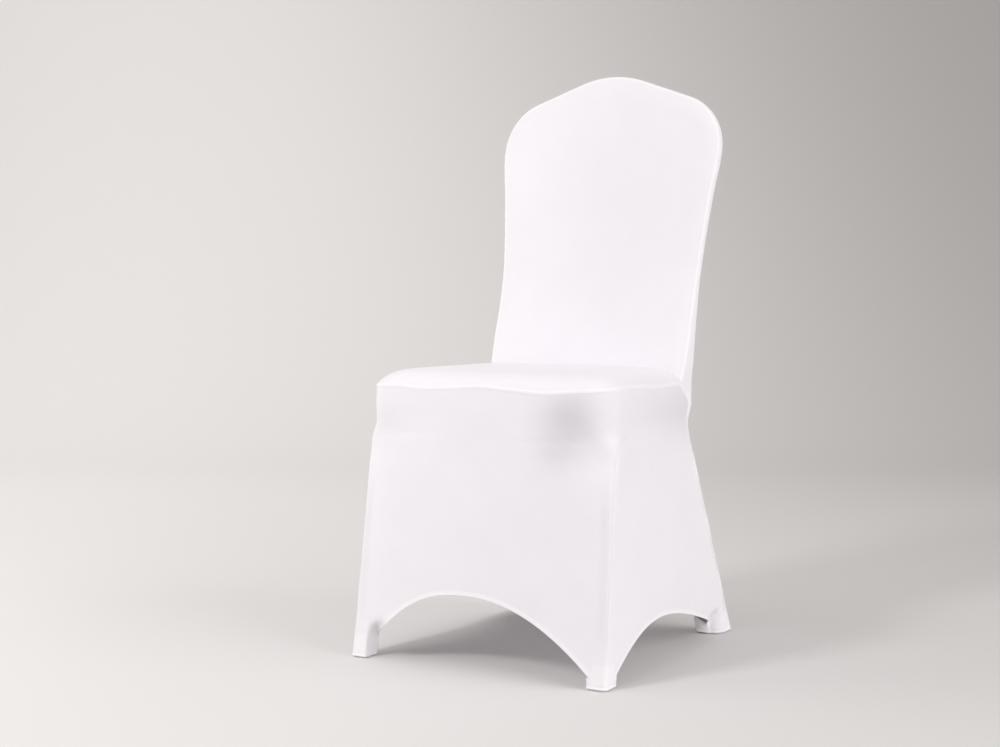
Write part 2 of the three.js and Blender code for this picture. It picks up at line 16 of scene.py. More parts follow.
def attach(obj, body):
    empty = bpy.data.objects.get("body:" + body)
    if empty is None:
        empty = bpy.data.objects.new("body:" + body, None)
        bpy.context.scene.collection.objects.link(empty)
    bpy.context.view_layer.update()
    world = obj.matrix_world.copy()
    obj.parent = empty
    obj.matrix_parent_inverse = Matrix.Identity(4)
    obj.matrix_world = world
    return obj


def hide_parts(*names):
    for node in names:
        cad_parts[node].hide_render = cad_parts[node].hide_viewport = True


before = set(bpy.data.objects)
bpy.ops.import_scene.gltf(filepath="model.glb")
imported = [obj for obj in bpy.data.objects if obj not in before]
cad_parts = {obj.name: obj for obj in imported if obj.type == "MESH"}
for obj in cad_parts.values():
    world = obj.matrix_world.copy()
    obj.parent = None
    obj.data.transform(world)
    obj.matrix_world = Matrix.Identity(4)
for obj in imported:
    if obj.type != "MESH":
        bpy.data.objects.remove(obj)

LOG = logging.getLogger("cover")

# Sizes and tables are in millimetres, as a sewing pattern's are. Meshes, lights and the camera are in metres.
METRE = 1000.0
# Thickness of the cloth
CLOTH = 1.4
# How near another piece's border makes a seam, and how far from it the cloth turns towards that piece
SEAM_REACH = 2.0
SEAM_LEAN = 4.0
# Least cosine between the surface and the way in which a seam is raised
STEEPEST_LEAN = 0.5
# Steps in a millimetre within which two points are one
WELD_PER_MM = 100
# Places on each edge of a border, from one end to the other
EDGE_SHARES = 7
# Heights of the hems' ends and of the seams on top of the foot pockets
HEM_END = 18.0
POCKET_HEIGHT = 37.0
# Width of the back's narrow side, and the distance between its columns
BACK_WIDTH = 22.0
BACK_PITCH = 2.4

Array = np.ndarray
Colour = tuple[float, float, float]


class BackRow(NamedTuple):
    """Half width of the back, and the y of its front seam and its rear face, at one height."""

    z: float
    half: float
    seam: float
    rear: float


class StripRow(NamedTuple):
    """How far the narrow side strip lies inside the outline, and how far back, at a place along it."""

    at: float
    inset: float
    back: float


class FrontRow(NamedTuple):
    """Front of the skirt at one height."""

    z: float
    middle: float
    corner: float
    half: float
    radius: float
    bend: float


class RearRow(NamedTuple):
    """Rear corner below the seat at one height."""

    z: float
    half: float
    y: float
    lead: float
    middle: float


class SeamRow(NamedTuple):
    """Height of the wavy seat seam at a place along it."""

    at: float
    z: float


BACK = (
    BackRow(427, 180, 104, 155),
    BackRow(440, 181.3, 109.8, 154),
    BackRow(460, 183.2, 116.1, 153.2),
    BackRow(500, 184.3, 128, 156),
    BackRow(540, 183.6, 140.4, 163.4),
    BackRow(580, 184, 151.6, 169.6),
    BackRow(620, 185.9, 161.2, 176.2),
    BackRow(680, 190.2, 172, 188.4),
    BackRow(740, 196.5, 182.6, 199.8),
    BackRow(815, 204.5, 196.6, 214),
    BackRow(880, 204.5, 205.4, 220),
    BackRow(940, 204.5, 212, 225.5),
)
STRIP = (
    StripRow(0, 0, 0),
    StripRow(0.35, -1, 0.38),
    StripRow(0.72, -0.2, 0.8),
    StripRow(0.86, 2.2, 0.95),
    StripRow(1, 9, 1),
)
SKIRT_FRONT = (
    FrontRow(0, -246, -246, 227, 9, 3),
    FrontRow(50, -237, -238.5, 225.5, 9, 3),
    FrontRow(100, -232, -233, 224.5, 9, 3),
    FrontRow(150, -231, -226, 223.5, 9, 3),
    FrontRow(200, -230, -219, 222.5, 9, 3),
    FrontRow(300, -230.5, -206.5, 220.8, 10, 3.4),
    FrontRow(340, -231, -199.5, 221.5, 14, 3.2),
    FrontRow(356, -231.5, -201, 219.5, 22, 2.8),
    FrontRow(372, -232, -207.5, 216, 36, 2.3),
    FrontRow(388, -232.5, -213, 216, 44, 2),
    FrontRow(405, -233, -214.5, 217, 47, 2),
    FrontRow(440, -233, -214, 216, 48, 2),
)
REAR_CORNER = (
    RearRow(0, 212, 246, 5, 0),
    RearRow(50, 205.5, 233, 5, -5),
    RearRow(100, 199.5, 220, 5, -5),
    RearRow(150, 193.8, 207, 5, -3),
    RearRow(200, 188.5, 193.5, 5, 0),
    RearRow(250, 183, 180, 5, 2.5),
    RearRow(300, 177.4, 166, 5, 5.5),
    RearRow(340, 172.5, 155.5, 5, 8),
    RearRow(360, 172, 151, 5, 8),
    RearRow(378, 175, 149.6, 5, 6.5),
    RearRow(392, 178, 151, 7, 4),
    RearRow(410, 179.6, 153.4, 28, 2),
    RearRow(427, 180, 155, 51, 1.5),
)
SEAT_SEAM = (
    SeamRow(-1, 427),
    SeamRow(-0.7, 428),
    SeamRow(-0.475, 427.5),
    SeamRow(-0.39, 430),
    SeamRow(-0.28, 431.4),
    SeamRow(-0.18, 429),
    SeamRow(-0.09, 431.3),
    SeamRow(0, 434.8),
    SeamRow(0.09, 432.1),
    SeamRow(0.2, 428.3),
    SeamRow(0.31, 431.9),
    SeamRow(0.475, 435.6),
    SeamRow(0.64, 432.6),
    SeamRow(0.8, 429),
    SeamRow(1, 427),
)


class Place(NamedTuple):
    """A place on the cloth."""

    x: float
    y: float
    z: float


# Creases of the skirt: the line beside each front leg, the soft hollow in front of it, and
# the marks of the seat's edge
LEG_CREASE = (
    Place(207, -126, 365.4),
    Place(213, -164, 361),
    Place(217.7, -191, 348.5),
    Place(217.1, -199.4, 330),
    Place(217.2, -204, 304),
    Place(218.4, -209, 267),
    Place(220, -214, 218),
    Place(221.5, -218.6, 175),
    Place(221.4, -225, 139),
    Place(221.3, -229.7, 110),
    Place(221.7, -234, 75),
    Place(223.6, -237.5, 39),
)
LEG_HOLLOW = (
    Place(206, -214, 300),
    Place(207.4, -216, 246),
    Place(210.6, -222, 189),
    Place(211.2, -229, 131),
    Place(211.6, -235.5, 74),
    Place(212, -239, 40),
)
RAIL_TOP = (
    Place(-195, -211, 374),
    Place(-147, -222, 375.6),
    Place(-106, -227, 377.8),
    Place(-60, -230.5, 380),
)
RAIL_EDGE = (
    Place(-197, -208, 356.5),
    Place(-147, -221.4, 359),
    Place(-106, -227, 361.6),
    Place(-60, -230.5, 365),
)
FRONT_CREASE = (
    Place(52, -231, 355.2),
    Place(90, -229, 356),
    Place(122, -225.5, 358.3),
    Place(153, -220.4, 359.5),
    Place(182, -213, 360.4),
)


class TableCurve:
    """Smooth curve through one column of a table, without overshoot between its rows."""

    def __init__(self, rows: Sequence[NamedTuple], by: str, key: str) -> None:
        """Takes the column's slopes from the harmonic mean of the steps on either side.

        Args:
            rows: The table's rows, in order.
            by: The column that says where each row is.
            key: The column to follow.
        """
        self.places = np.array([getattr(row, by) for row in rows], float)
        self.values = np.array([getattr(row, key) for row in rows], float)
        steps = np.diff(self.values) / np.diff(self.places)
        before, after = steps[:-1], steps[1:]
        same_way = before * after > 0
        mean = 2 * before * after / np.where(same_way, before + after, 1)
        self.slopes = np.concatenate([steps[:1], np.where(same_way, mean, 0), steps[-1:]])

    def __call__(self, at: Array | float) -> Array:
        """Value at a place.

        Args:
            at: One place or many.

        Returns:
            The value at each place.
        """
        at = np.asarray(at, float)
        i = np.clip(np.searchsorted(self.places, at, side="right") - 1, 0, len(self.places) - 2)
        span = self.places[i + 1] - self.places[i]
        t = np.clip((at - self.places[i]) / span, 0, 1)
        return (
            (2 * t**3 - 3 * t**2 + 1) * self.values[i]
            + (t**3 - 2 * t**2 + t) * span * self.slopes[i]
            + (3 * t**2 - 2 * t**3) * self.values[i + 1]
            + (t**3 - t**2) * span * self.slopes[i + 1]
        )


class Curves:
    """All columns of a table as curves, each under its own name."""

    def __init__(self, rows: Sequence[NamedTuple], by: str) -> None:
        """Makes one curve for each column apart from the one that says where.

        Args:
            rows: The table's rows.
            by: The column that says where each row is.
        """
        for key in rows[0]._fields:
            if key != by:
                setattr(self, key, TableCurve(rows, by, key))


back = Curves(BACK, "z")
strip = Curves(STRIP, "at")
skirt_front = Curves(SKIRT_FRONT, "z")
rear_corner = Curves(REAR_CORNER, "z")
seat_seam = Curves(SEAT_SEAM, "at")


def mix(a: Array | float, b: Array | float, t: Array | float) -> Array:
    """Value between a and b.

    Args:
        a: Value where t is 0.
        b: Value where t is 1.
        t: Share of the way.

    Returns:
        The value.
    """
    return a + (b - a) * t


def smoothstep(value: Array | float, low: float, high: float) -> Array:
    """Soft step from 0 at low to 1 at high.

    Args:
        value: The value to judge.
        low: Where the step starts.
        high: Where it ends.

    Returns:
        The step's height, from 0 to 1.
    """
    t = np.clip((np.asarray(value, float) - low) / (high - low), 0, 1)
    return t * t * (3 - 2 * t)


def stack(x: Array | float, y: Array | float, z: Array | float) -> Array:
    """Points from their coordinates, which may be single numbers.

    Args:
        x: To the right.
        y: To the back.
        z: Up.

    Returns:
        The points, with the coordinates along the last axis.
    """
    return np.stack(np.broadcast_arrays(np.asarray(x, float), y, z), axis=-1)


# Distances from a seam or hem at which the cloth has a row of points
EDGE_STEPS = (0.0, 0.5, 1.0, 1.6, 2.3, 3.2, 4.4, 5.7, 6.8, 7.8, 9.0, 10.6)


def spaced(length: float, pitch: float, near_start: bool = True, near_end: bool = True) -> Array:
    """Fractions of a length, close together at the edges that carry a seam or hem.

    Args:
        length: The length.
        pitch: Distance between places away from the edges.
        near_start: Whether the start is such an edge.
        near_end: Whether the end is.

    Returns:
        Fractions from 0 to 1.
    """
    reach = EDGE_STEPS[-1]
    low, high = (reach if near_start else 0.0), length - (reach if near_end else 0.0)
    count = max(2, round((high - low) / pitch))
    places = list(np.linspace(low, high, count + 1))
    if near_start:
        places = list(EDGE_STEPS[:-1]) + places
    if near_end:
        places += [length - step for step in reversed(EDGE_STEPS[:-1])]
    return np.array(places) / length


@dataclass(frozen=True)
class Crown:
    """Outline of the back's top: an apex arc, then on each side a straight slope and a shoulder arc."""

    full_height: float = 940.0
    shoulder_height: float = 815.0
    shoulder_half: float = 204.5
    apex_radius: float = 175.0
    slope: float = math.radians(19.5)
    arc_density: float = 1.3

    @property
    def level(self) -> float:
        """Distance of the slope's line from the origin, along its normal."""
        return math.cos(self.slope) * (self.full_height - self.apex_radius) + self.apex_radius

    @property
    def shoulder_radius(self) -> float:
        """Radius of the shoulder arc that meets the slope and the side."""
        sine, cosine = math.sin(self.slope), math.cos(self.slope)
        return (self.level - sine * self.shoulder_half - cosine * self.shoulder_height) / (1 - sine)

    def outline(self, across: Array) -> tuple[Array, Array, Array, Array]:
        """Place and outward normal of the outline.

        Args:
            across: Fractions of the half width, from -1 to 1.

        Returns:
            x, z, and the normal's x and z.
        """
        across = np.asarray(across, float)
        x = np.abs(across) * self.shoulder_half
        sine, cosine = math.sin(self.slope), math.cos(self.slope)
        radius, centre = self.shoulder_radius, self.shoulder_half - self.shoulder_radius
        low = self.full_height - self.apex_radius
        on_apex = x < sine * self.apex_radius
        on_slope = x < centre + sine * radius
        apex_z = low + np.sqrt(np.maximum(self.apex_radius**2 - x**2, 0))
        shoulder_z = self.shoulder_height + np.sqrt(np.maximum(radius**2 - (x - centre) ** 2, 0))
        z = np.where(on_apex, apex_z, np.where(on_slope, (self.level - sine * x) / cosine, shoulder_z))
        nx = np.where(on_apex, x, np.where(on_slope, sine, x - centre))
        nz = np.where(on_apex, z - low, np.where(on_slope, cosine, z - self.shoulder_height))
        length = np.hypot(nx, nz)
        sign = np.sign(across)
        return x * sign, z, nx / length * sign, nz / length

    def columns(self, pitch: float) -> Array:
        """Fractions across the back, evenly spaced along the outline, with the shoulder arc by its angle.

        Args:
            pitch: Distance between columns.

        Returns:
            Fractions from -1 to 1.
        """
        radius, centre = self.shoulder_radius, self.shoulder_half - self.shoulder_radius
        arc_start = centre + math.sin(self.slope) * radius
        straight = np.linspace(0, arc_start, round(arc_start / pitch) + 1)
        turn = math.pi / 2 - self.slope
        angles = self.slope + turn * np.linspace(0, 1, round(turn * radius / pitch * self.arc_density) + 1)
        arc = centre + radius * np.sin(angles)
        half = np.concatenate([straight, arc[1:]]) / self.shoulder_half
        half[-1] = 1.0
        return np.concatenate([-half[:0:-1], half])


@dataclass(frozen=True)
class Arch:
    """An arched hem: the place and height of its top, its two ends, and how round each half is."""

    peak_at: float
    top: float
    ends: tuple[float, float]
    powers: tuple[float, float]

    def height(self, at: Array) -> Array:
        """Height of the hem at places along it.

        Args:
            at: Places along the hem.

        Returns:
            The heights.
        """
        at = np.asarray(at, float)
        left = at < self.peak_at
        end = np.where(left, self.ends[0], self.ends[1])
        reach = np.minimum(1, np.abs((at - self.peak_at) / (end - self.peak_at)))
        return HEM_END + (self.top - HEM_END) * (1 - reach ** np.where(left, *self.powers))


crown = Crown()
FRONT_ARCH = Arch(-15, 114.5, (-197, 197), (2.7, 1.9))
RIGHT_ARCH = Arch(-30, 74, (-214, 203), (2.2, 1.7))
LEFT_ARCH = Arch(-40, 71, (-214, 203), (1.9, 1.5))
REAR_ARCH = Arch(0, 104, (-164, 164), (2.2, 2.2))


class Patch(NamedTuple):
    """A grid of points seen from outside, rows going up and columns to the right."""

    points: Array


class Shell(NamedTuple):
    """Welded cloth surface: its points, its four-cornered faces and their places on the flat cloth."""

    points: Array
    faces: Array
    flat: Array


def weld(*patches: Patch) -> Shell:
    """Joins patches that share edges into one surface.

    Args:
        patches: The patches.

    Returns:
        The surface, with each patch's own lengths along its rows and columns as its flat places.
    """
    points, faces, flats, start = [], [], [], 0
    for patch in patches:
        grid = patch.points
        rows, columns = grid.shape[:2]
        number = np.arange(rows * columns).reshape(rows, columns) + start
        start += rows * columns
        points.append(grid.reshape(-1, 3))
        corners = np.stack([number[:-1, :-1], number[:-1, 1:], number[1:, 1:], number[1:, :-1]], -1)
        faces.append(corners.reshape(-1, 4))
        u = np.zeros((rows, columns))
        u[:, 1:] = np.cumsum(np.linalg.norm(np.diff(grid, axis=1), axis=-1), axis=1)
        u -= u[:, columns // 2][:, None]
        v = np.zeros((rows, columns))
        v[1:] = np.cumsum(np.linalg.norm(np.diff(grid, axis=0), axis=-1), axis=0)
        flats.append(np.stack([u, v], -1).reshape(-1, 2))
    points, faces, flats = np.concatenate(points), np.concatenate(faces), np.concatenate(flats)
    flat = flats[faces]
    places = np.round(points * WELD_PER_MM).astype(np.int64)
    _, first, index = np.unique(places, axis=0, return_index=True, return_inverse=True)
    faces = index.reshape(-1)[faces]
    kept = points[first]
    ordered = np.sort(faces, axis=1)
    sound = (ordered[:, :-1] == ordered[:, 1:]).sum(axis=1) < 2
    return Shell(kept, faces[sound], flat[sound])


def face_normals(points: Array, faces: Array) -> Array:
    """Normals of four-cornered faces, as long as twice their areas.

    Args:
        points: The points.
        faces: The faces' corners.

    Returns:
        One normal for each face.
    """
    a, b, c, d = (points[faces[:, k]] for k in range(4))
    return np.cross(c - a, d - b)


def vertex_normals(points: Array, faces: Array) -> Array:
    """Unit normals of the points, from the faces round them.

    Args:
        points: The points.
        faces: The faces' corners.

    Returns:
        One normal for each point.
    """
    normals = np.zeros_like(points)
    across = face_normals(points, faces)
    for k in range(4):
        np.add.at(normals, faces[:, k], across)
    return normals / np.maximum(np.linalg.norm(normals, axis=1), 1e-9)[:, None]


def border(faces: Array) -> Array:
    """Edges that only one face has.

    Args:
        faces: The faces' corners.

    Returns:
        Pairs of points, in the order of the face that has them.
    """
    edges = np.concatenate([faces[:, [k, (k + 1) % 4]] for k in range(4)])
    edges = edges[edges[:, 0] != edges[:, 1]]
    span = int(faces.max()) + 1
    keys = edges[:, 0].astype(np.int64) * span + edges[:, 1]
    back_keys = edges[:, 1].astype(np.int64) * span + edges[:, 0]
    return edges[~np.isin(keys, back_keys)]


def nearest(tree: KDTree, points: Array) -> tuple[Array, Array]:
    """Finds the tree's nearest place to each point.

    Args:
        tree: The tree.
        points: The points.

    Returns:
        The number of each nearest place, and how far it is.
    """
    found = [tree.find(point) for point in points]
    return np.array([f[1] for f in found]), np.array([f[2] for f in found])


def tree_of(points: Array) -> KDTree:
    """Search tree of points.

    Args:
        points: The points.

    Returns:
        The tree, ready to be searched.
    """
    tree = KDTree(len(points))
    for i, point in enumerate(points):
        tree.insert(point, i)
    tree.balance()
    return tree


@dataclass(frozen=True)
class SeamRelief:
    """How cloth rises beside a seam and sinks at it."""

    lip: float = 0.95
    lip_at: float = 0.9
    lip_width: float = 1.5
    groove: float = 0.3
    groove_width: float = 0.55
    allowance: float = 2.8
    soft: float = 1.5
    flat_below: float = 45.0
    flat_share: float = 0.22

    def share(self, z: Array) -> Array:
        """How much of the relief a seam has at a height: the seams of the feet lie almost flat."""
        return mix(self.flat_share, 1, smoothstep(z, self.flat_below, 2 * self.flat_below))

    def height(self, distance: Array, z: Array) -> Array:
        """Height above the plain surface.

        Args:
            distance: How far each point is from the seam.
            z: Its height over the floor.

        Returns:
            The heights.
        """
        rise = self.lip * np.exp(-(((distance - self.lip_at) / self.lip_width) ** 2))
        return (rise - self.groove * np.exp(-((distance / self.groove_width) ** 2))) * self.share(z)

    def layers(self, distance: Array, z: Array) -> Array:
        """How much the turned-in edges below thicken the cloth at a distance from the seam, which is also
        painted lighter as a highlight along the seam.
        """
        under = 1 - smoothstep(distance, self.allowance - self.soft, self.allowance + self.soft)
        return under * self.share(z)


@dataclass(frozen=True)
class HemRelief:
    """How a turned-up hem stands proud, with a fine groove along its row of stitches."""

    depth: float = 5.4
    rise: float = 0.6
    rows: tuple[float, ...] = (4.2,)
    groove: float = 0.3
    groove_width: float = 0.8
    step: tuple[float, float] = (0.9, 1.8)
    edge: tuple[float, float] = (1.2, 0.8)

    def height(self, distance: Array) -> Array:
        """Height above the plain surface.

        Args:
            distance: How far each point is from the hem's edge.

        Returns:
            The heights.
        """
        rise = self.rise * (1 - smoothstep(distance, self.depth - self.step[0], self.depth + self.step[1]))
        for row in self.rows:
            rise = rise - self.groove * np.exp(-(((distance - row) / self.groove_width) ** 2))
        return rise

    def layers(self, distance: Array) -> Array:
        """How much the turned-up cloth thickens it at a distance from the hem's edge, which is also painted
        lighter as a highlight along the hem.
        """
        return 1 - smoothstep(distance, self.depth - self.edge[0], self.depth + self.edge[1])


@dataclass(frozen=True)
class Fold:
    """A crease: its line, its height and width, its fading ends, and how dark it is."""

    line: tuple[Place, ...]
    height: float
    width: float
    fade: float = 20.0
    # How dark the painted shade along the crease is
    shade: float = 0.0

    def profile(self, points: Array) -> Array:
        """Share of the fold at each point, fading away from its line and towards both ends.

        Args:
            points: The points.

        Returns:
            The shares, from 0 to 1.
        """
        ends = np.array(self.line)
        lengths = np.concatenate([[0], np.cumsum(np.linalg.norm(np.diff(ends, axis=0), axis=1))])
        best = np.full(len(points), np.inf)
        along = np.zeros(len(points))
        for k in range(len(ends) - 1):
            way = ends[k + 1] - ends[k]
            length = np.linalg.norm(way)
            t = np.clip((points - ends[k]) @ way / length**2, 0, 1)
            distance = np.linalg.norm(points - ends[k] - t[:, None] * way, axis=1)
            closer = distance < best
            best = np.where(closer, distance, best)
            along = np.where(closer, lengths[k] + t * length, along)
        fade = smoothstep(along, 0, self.fade) * smoothstep(lengths[-1] - along, 0, self.fade)
        return fade * np.exp(-((best / self.width) ** 2))


@dataclass(frozen=True)
class PaintedShadePatch:
    """A soft patch of painted shade on the cloth."""

    x: float
    z: float
    half_width: float
    half_height: float
    depth: float

    def shade(self, points: Array) -> Array:
        """How deep the painted shade is.

        Args:
            points: The points.

        Returns:
            The depth of the painted shade at each point.
        """
        across = (points[:, 0] - self.x) / self.half_width
        up = (points[:, 2] - self.z) / self.half_height
        return self.depth * np.exp(-(across**2 + up**2))


# Painted shade on the skirt's front near its right corner, below the seat, where the hollow under the seat is
# dark
SKIRT_PAINTED_SHADE = (
    PaintedShadePatch(154, 400, 32, 23, 0.45),
    PaintedShadePatch(148, 380, 44, 40, 0.46),
    PaintedShadePatch(134, 344, 34, 30, 0.3),
    PaintedShadePatch(165, 424, 46, 24, 0.15),
)
# Painted shade over the middle of the inside back, leaving its lower part lighter
BACK_PAINTED_SHADE = (PaintedShadePatch(25, 770, 150, 150, 0.17), PaintedShadePatch(40, 600, 130, 110, 0.1))


class SoleRow(NamedTuple):
    """Outline of a pocket's sole: its share of the full width, and its height."""

    share: float
    z: float


SOLE = (
    SoleRow(0, 0),
    SoleRow(0.4, 0),
    SoleRow(0.7, 0),
    SoleRow(0.79, 0.1),
    SoleRow(0.83, 0.9),
    SoleRow(0.87, 1.7),
    SoleRow(0.93, 2.0),
    SoleRow(0.975, 2.5),
    SoleRow(0.995, 3.3),
    SoleRow(1, 4.3),
)


@dataclass(frozen=True)
class SoleRelief:
    """The seam round a pocket's sole, a little above the floor, and the roll of cloth below it."""

    seam_at: float = 6.2
    groove: float = 0.5
    groove_width: float = 0.8
    roll_at: float = 3.6
    roll: float = 0.5
    roll_width: float = 1.8
    level: float = 0.3
    upright: float = 0.7
    edge_low: float = 1.0
    edge_soft: float = 1.0

    def on_wall(self, normals: Array) -> Array:
        """How much of the relief a point has: none where the cloth lies flat on the floor."""
        return smoothstep(np.hypot(normals[:, 0], normals[:, 1]), self.level, self.upright)

    def height(self, z: Array) -> Array:
        """Height above the plain surface.

        Args:
            z: Each point's height over the floor.

        Returns:
            The heights.
        """
        rise = self.roll * np.exp(-(((z - self.roll_at) / self.roll_width) ** 2))
        return rise - self.groove * np.exp(-(((z - self.seam_at) / self.groove_width) ** 2))

    def layers(self, z: Array) -> Array:
        """How much the sole's turned edge thickens the cloth at a height over the floor, which is also
        painted lighter as a highlight on the band below the sole's seam.
        """
        below = smoothstep(z, self.edge_low, self.edge_low + self.edge_soft)
        return below * (1 - smoothstep(z, self.seam_at - self.edge_soft, self.seam_at))


class Slot(Enum):
    """The record's material slots."""

    STRETCH = "white_stretch"
    DOUBLED = "white_doubled"


class Hold(Enum):
    """How a sheet is held."""

    STRETCHED = "stretched"


@dataclass
class Cloth:
    """One cut piece of cloth: its surface, and what it becomes as a sewn sheet."""

    name: str
    node: str
    slot: Slot
    shell: Shell
    flat: tuple[float, float]
    area: float
    sewn_to: tuple[str, ...]
    folds: tuple[Fold, ...] = ()
    # Soft patches of painted shade
    patches: tuple[PaintedShadePatch, ...] = ()
    sole: SoleRelief | None = None
    hemmed: bool = True
    normals: Array = field(init=False)
    edges: Array = field(init=False)
    rim: Array = field(init=False)
    on_seam: Array = field(init=False)
    seam_points: Array = field(init=False)
    seam_meeting: Array = field(init=False)
    hem_points: Array = field(init=False)
    outer: Array = field(init=False)
    push: Array = field(init=False)
    piece: bpy.types.Object = field(init=False)

    def __post_init__(self) -> None:
        """Works out the surface's normals and border."""
        self.normals = vertex_normals(self.shell.points, self.shell.faces)
        self.edges = border(self.shell.faces)
        self.rim = np.unique(self.edges)

    def sort_rim(self, others: Sequence["Cloth"]) -> None:
        """Splits the border into seams, where another piece's border is near, and hems.

        Args:
            others: The other pieces.
        """
        around = np.concatenate([other.shell.points[other.rim] for other in others])
        normals = np.concatenate([other.normals[other.rim] for other in others])
        number, distance = nearest(tree_of(around), self.shell.points[self.rim])
        self.on_seam = (distance < SEAM_REACH) | (not self.hemmed)
        meeting = self.normals.copy()
        meeting[self.rim] += np.where(self.on_seam[:, None], normals[number], 0)
        meeting /= np.maximum(np.linalg.norm(meeting, axis=1), 1e-6)[:, None]
        sewn_point = np.zeros(len(self.shell.points), bool)
        sewn_point[self.rim[self.on_seam]] = True
        sewn = sewn_point[self.edges].all(axis=1)
        self.seam_points = self.spread(self.shell.points, sewn)
        self.seam_meeting = self.spread(meeting, sewn)
        self.hem_points = self.spread(self.shell.points, ~sewn)

    def spread(self, values: Array, chosen: Array) -> Array:
        """Values along some edges of the border, at close steps between their ends.

        Args:
            values: One value for each point of the surface.
            chosen: Which of the border's edges to take.

        Returns:
            The values.
        """
        a, b = self.edges[chosen].T
        return np.concatenate([mix(values[a], values[b], share) for share in np.linspace(0, 1, EDGE_SHARES)])

    def raised(self) -> tuple[Array, Array, Array, Array]:
        """Works out the relief of the seams, hems and folds.

        Returns:
            Each point's height above the plain surface, how much its cloth is doubled and painted lighter as
            a highlight, how much painted shade it has, and the direction in which it is raised.
        """
        points = self.shell.points
        relief = np.zeros(len(points))
        layers = np.zeros(len(points))
        painted_shade = np.zeros(len(points))
        lean = self.normals.copy()
        if len(self.seam_points):
            number, distance = nearest(tree_of(self.seam_points), points)
            relief += SeamRelief().height(distance, points[:, 2])
            layers = np.maximum(layers, SeamRelief().layers(distance, points[:, 2]))
            share = (1 - smoothstep(distance, 0, SEAM_LEAN))[:, None]
            lean = lean * (1 - share) + self.seam_meeting[number] * share
            lean /= np.linalg.norm(lean, axis=1)[:, None]
        if len(self.hem_points):
            _, distance = nearest(tree_of(self.hem_points), points)
            relief += HemRelief().height(distance)
            layers = np.maximum(layers, HemRelief().layers(distance))
        if self.sole:
            relief += self.sole.height(points[:, 2]) * self.sole.on_wall(lean)
            layers = np.maximum(layers, self.sole.layers(points[:, 2]))
        for fold in self.folds:
            profile = fold.profile(points)
            relief += fold.height * profile
            # Painted shade along the crease
            painted_shade = 1 - (1 - painted_shade) * (1 - fold.shade * profile)
        # Painted shade of the soft patches
        for patch in self.patches:
            painted_shade = 1 - (1 - painted_shade) * (1 - patch.shade(points))
        return relief, layers, painted_shade, lean

    def sew(self) -> None:
        """Raises the surface and closes it into a thin sheet, rounded at its hems."""
        faces, count = self.shell.faces, len(self.shell.points)
        relief, layers, painted_shade, lean = self.raised()
        outer = self.shell.points + lean * relief[:, None]
        self.outer = outer
        cosine = np.maximum((lean * self.normals).sum(axis=1), STEEPEST_LEAN)
        inner = outer - lean * (CLOTH / cosine)[:, None]
        a, b = self.edges.T
        outward = -np.cross(lean[a] + lean[b], outer[b] - outer[a])
        push = np.zeros_like(outer)
        np.add.at(push, a, outward)
        np.add.at(push, b, outward)
        push /= np.maximum(np.linalg.norm(push, axis=1), 1e-9)[:, None]
        self.push = push
        rounding = np.where(self.on_seam, 0, CLOTH / 2)[:, None]
        middle = (outer + inner)[self.rim] / 2 + push[self.rim] * rounding
        place = np.zeros(count, int)
        place[self.rim] = np.arange(len(self.rim)) + 2 * count
        upper = np.stack([b, a, place[a], place[b]], axis=1)
        lower = np.stack([place[b], place[a], a + count, b + count], axis=1)
        every = np.concatenate([faces, faces[:, ::-1] + count, upper, lower])
        wall = np.zeros((len(upper), 4, 2))
        flats = np.concatenate([self.shell.flat, self.shell.flat[:, ::-1], wall, wall])
        self.piece = make_mesh(self.name, np.concatenate([outer, inner, middle]), every, flats)
        # Masks for the shader: the doubled cloth with its painted highlight, and the painted shade
        for key, values in (("layers", layers), ("painted_shade", painted_shade)):
            attribute = self.piece.data.attributes.new(key, "FLOAT", "POINT")
            attribute.data.foreach_set("value", np.concatenate([values, values, values[self.rim]]))

    def hem_rows(self) -> list[tuple[Array, Array]]:
        """Finds the lines along which the hems are sewn.

        Returns:
            For each line its points, and the directions that the cloth faces there.
        """
        hem = set(self.rim[~self.on_seam].tolist())
        following = {a: b for a, b in self.edges.tolist() if a in hem and b in hem}
        starts = [a for a in following if a not in set(following.values())] or list(following)[:1]
        rings = [list(dict.fromkeys(ring)) for ring in self.shell.faces.tolist()]
        tree = BVHTree.FromPolygons(self.outer.tolist(), rings)
        rows = []
        for start in starts:
            chain = [start]
            while chain[-1] in following and following[chain[-1]] != start:
                chain.append(following[chain[-1]])
            for depth in HemRelief().rows:
                found = [tree.find_nearest(Vector(p)) for p in self.outer[chain] - self.push[chain] * depth]
                rows.append((np.array([f[0] for f in found]), np.array([f[1] for f in found])))
        return rows

    def declare(self, finish: bpy.types.Material, stitches: Sequence[bpy.types.Object]) -> None:
        """Gives the sheet its finish, attaches it to the root and hides its part.

        Args:
            finish: Its material.
            stitches: Not used.
        """
        piece = self.piece
        piece.data.materials.append(finish)
        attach(piece, "root")
        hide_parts(self.node)
        list(self.sewn_to)


def make_mesh(name: str, points: Array, faces: Array, flats: Array | None = None) -> bpy.types.Object:
    """Makes an object in metres from points in millimetres.

    Args:
        name: The object's name.
        points: The points.
        faces: Four-cornered faces, where two corners may be the same.
        flats: Each face corner's place on the flat cloth.

    Returns:
        The object, smooth, with a UV map in metres of cloth.
    """
    mesh = bpy.data.meshes.new(name)
    rings, maps = [], []
    for i, ring in enumerate(faces.tolist()):
        kept = [k for k in range(4) if ring[k] != ring[k - 1]]
        if len(kept) > 2:
            rings.append([ring[k] for k in kept])
            maps += [(i, k) for k in kept]
    mesh.from_pydata((points / METRE).tolist(), [], rings)
    if flats is not None:
        layer = mesh.uv_layers.new(name="flat_cloth")
        picked = np.array(maps)
        layer.data.foreach_set("uv", (flats[picked[:, 0], picked[:, 1]] / METRE).ravel())
    mesh.polygons.foreach_set("use_smooth", [True] * len(mesh.polygons))
    mesh.validate()
    piece = bpy.data.objects.new(name, mesh)
    bpy.context.scene.collection.objects.link(piece)
    return piece


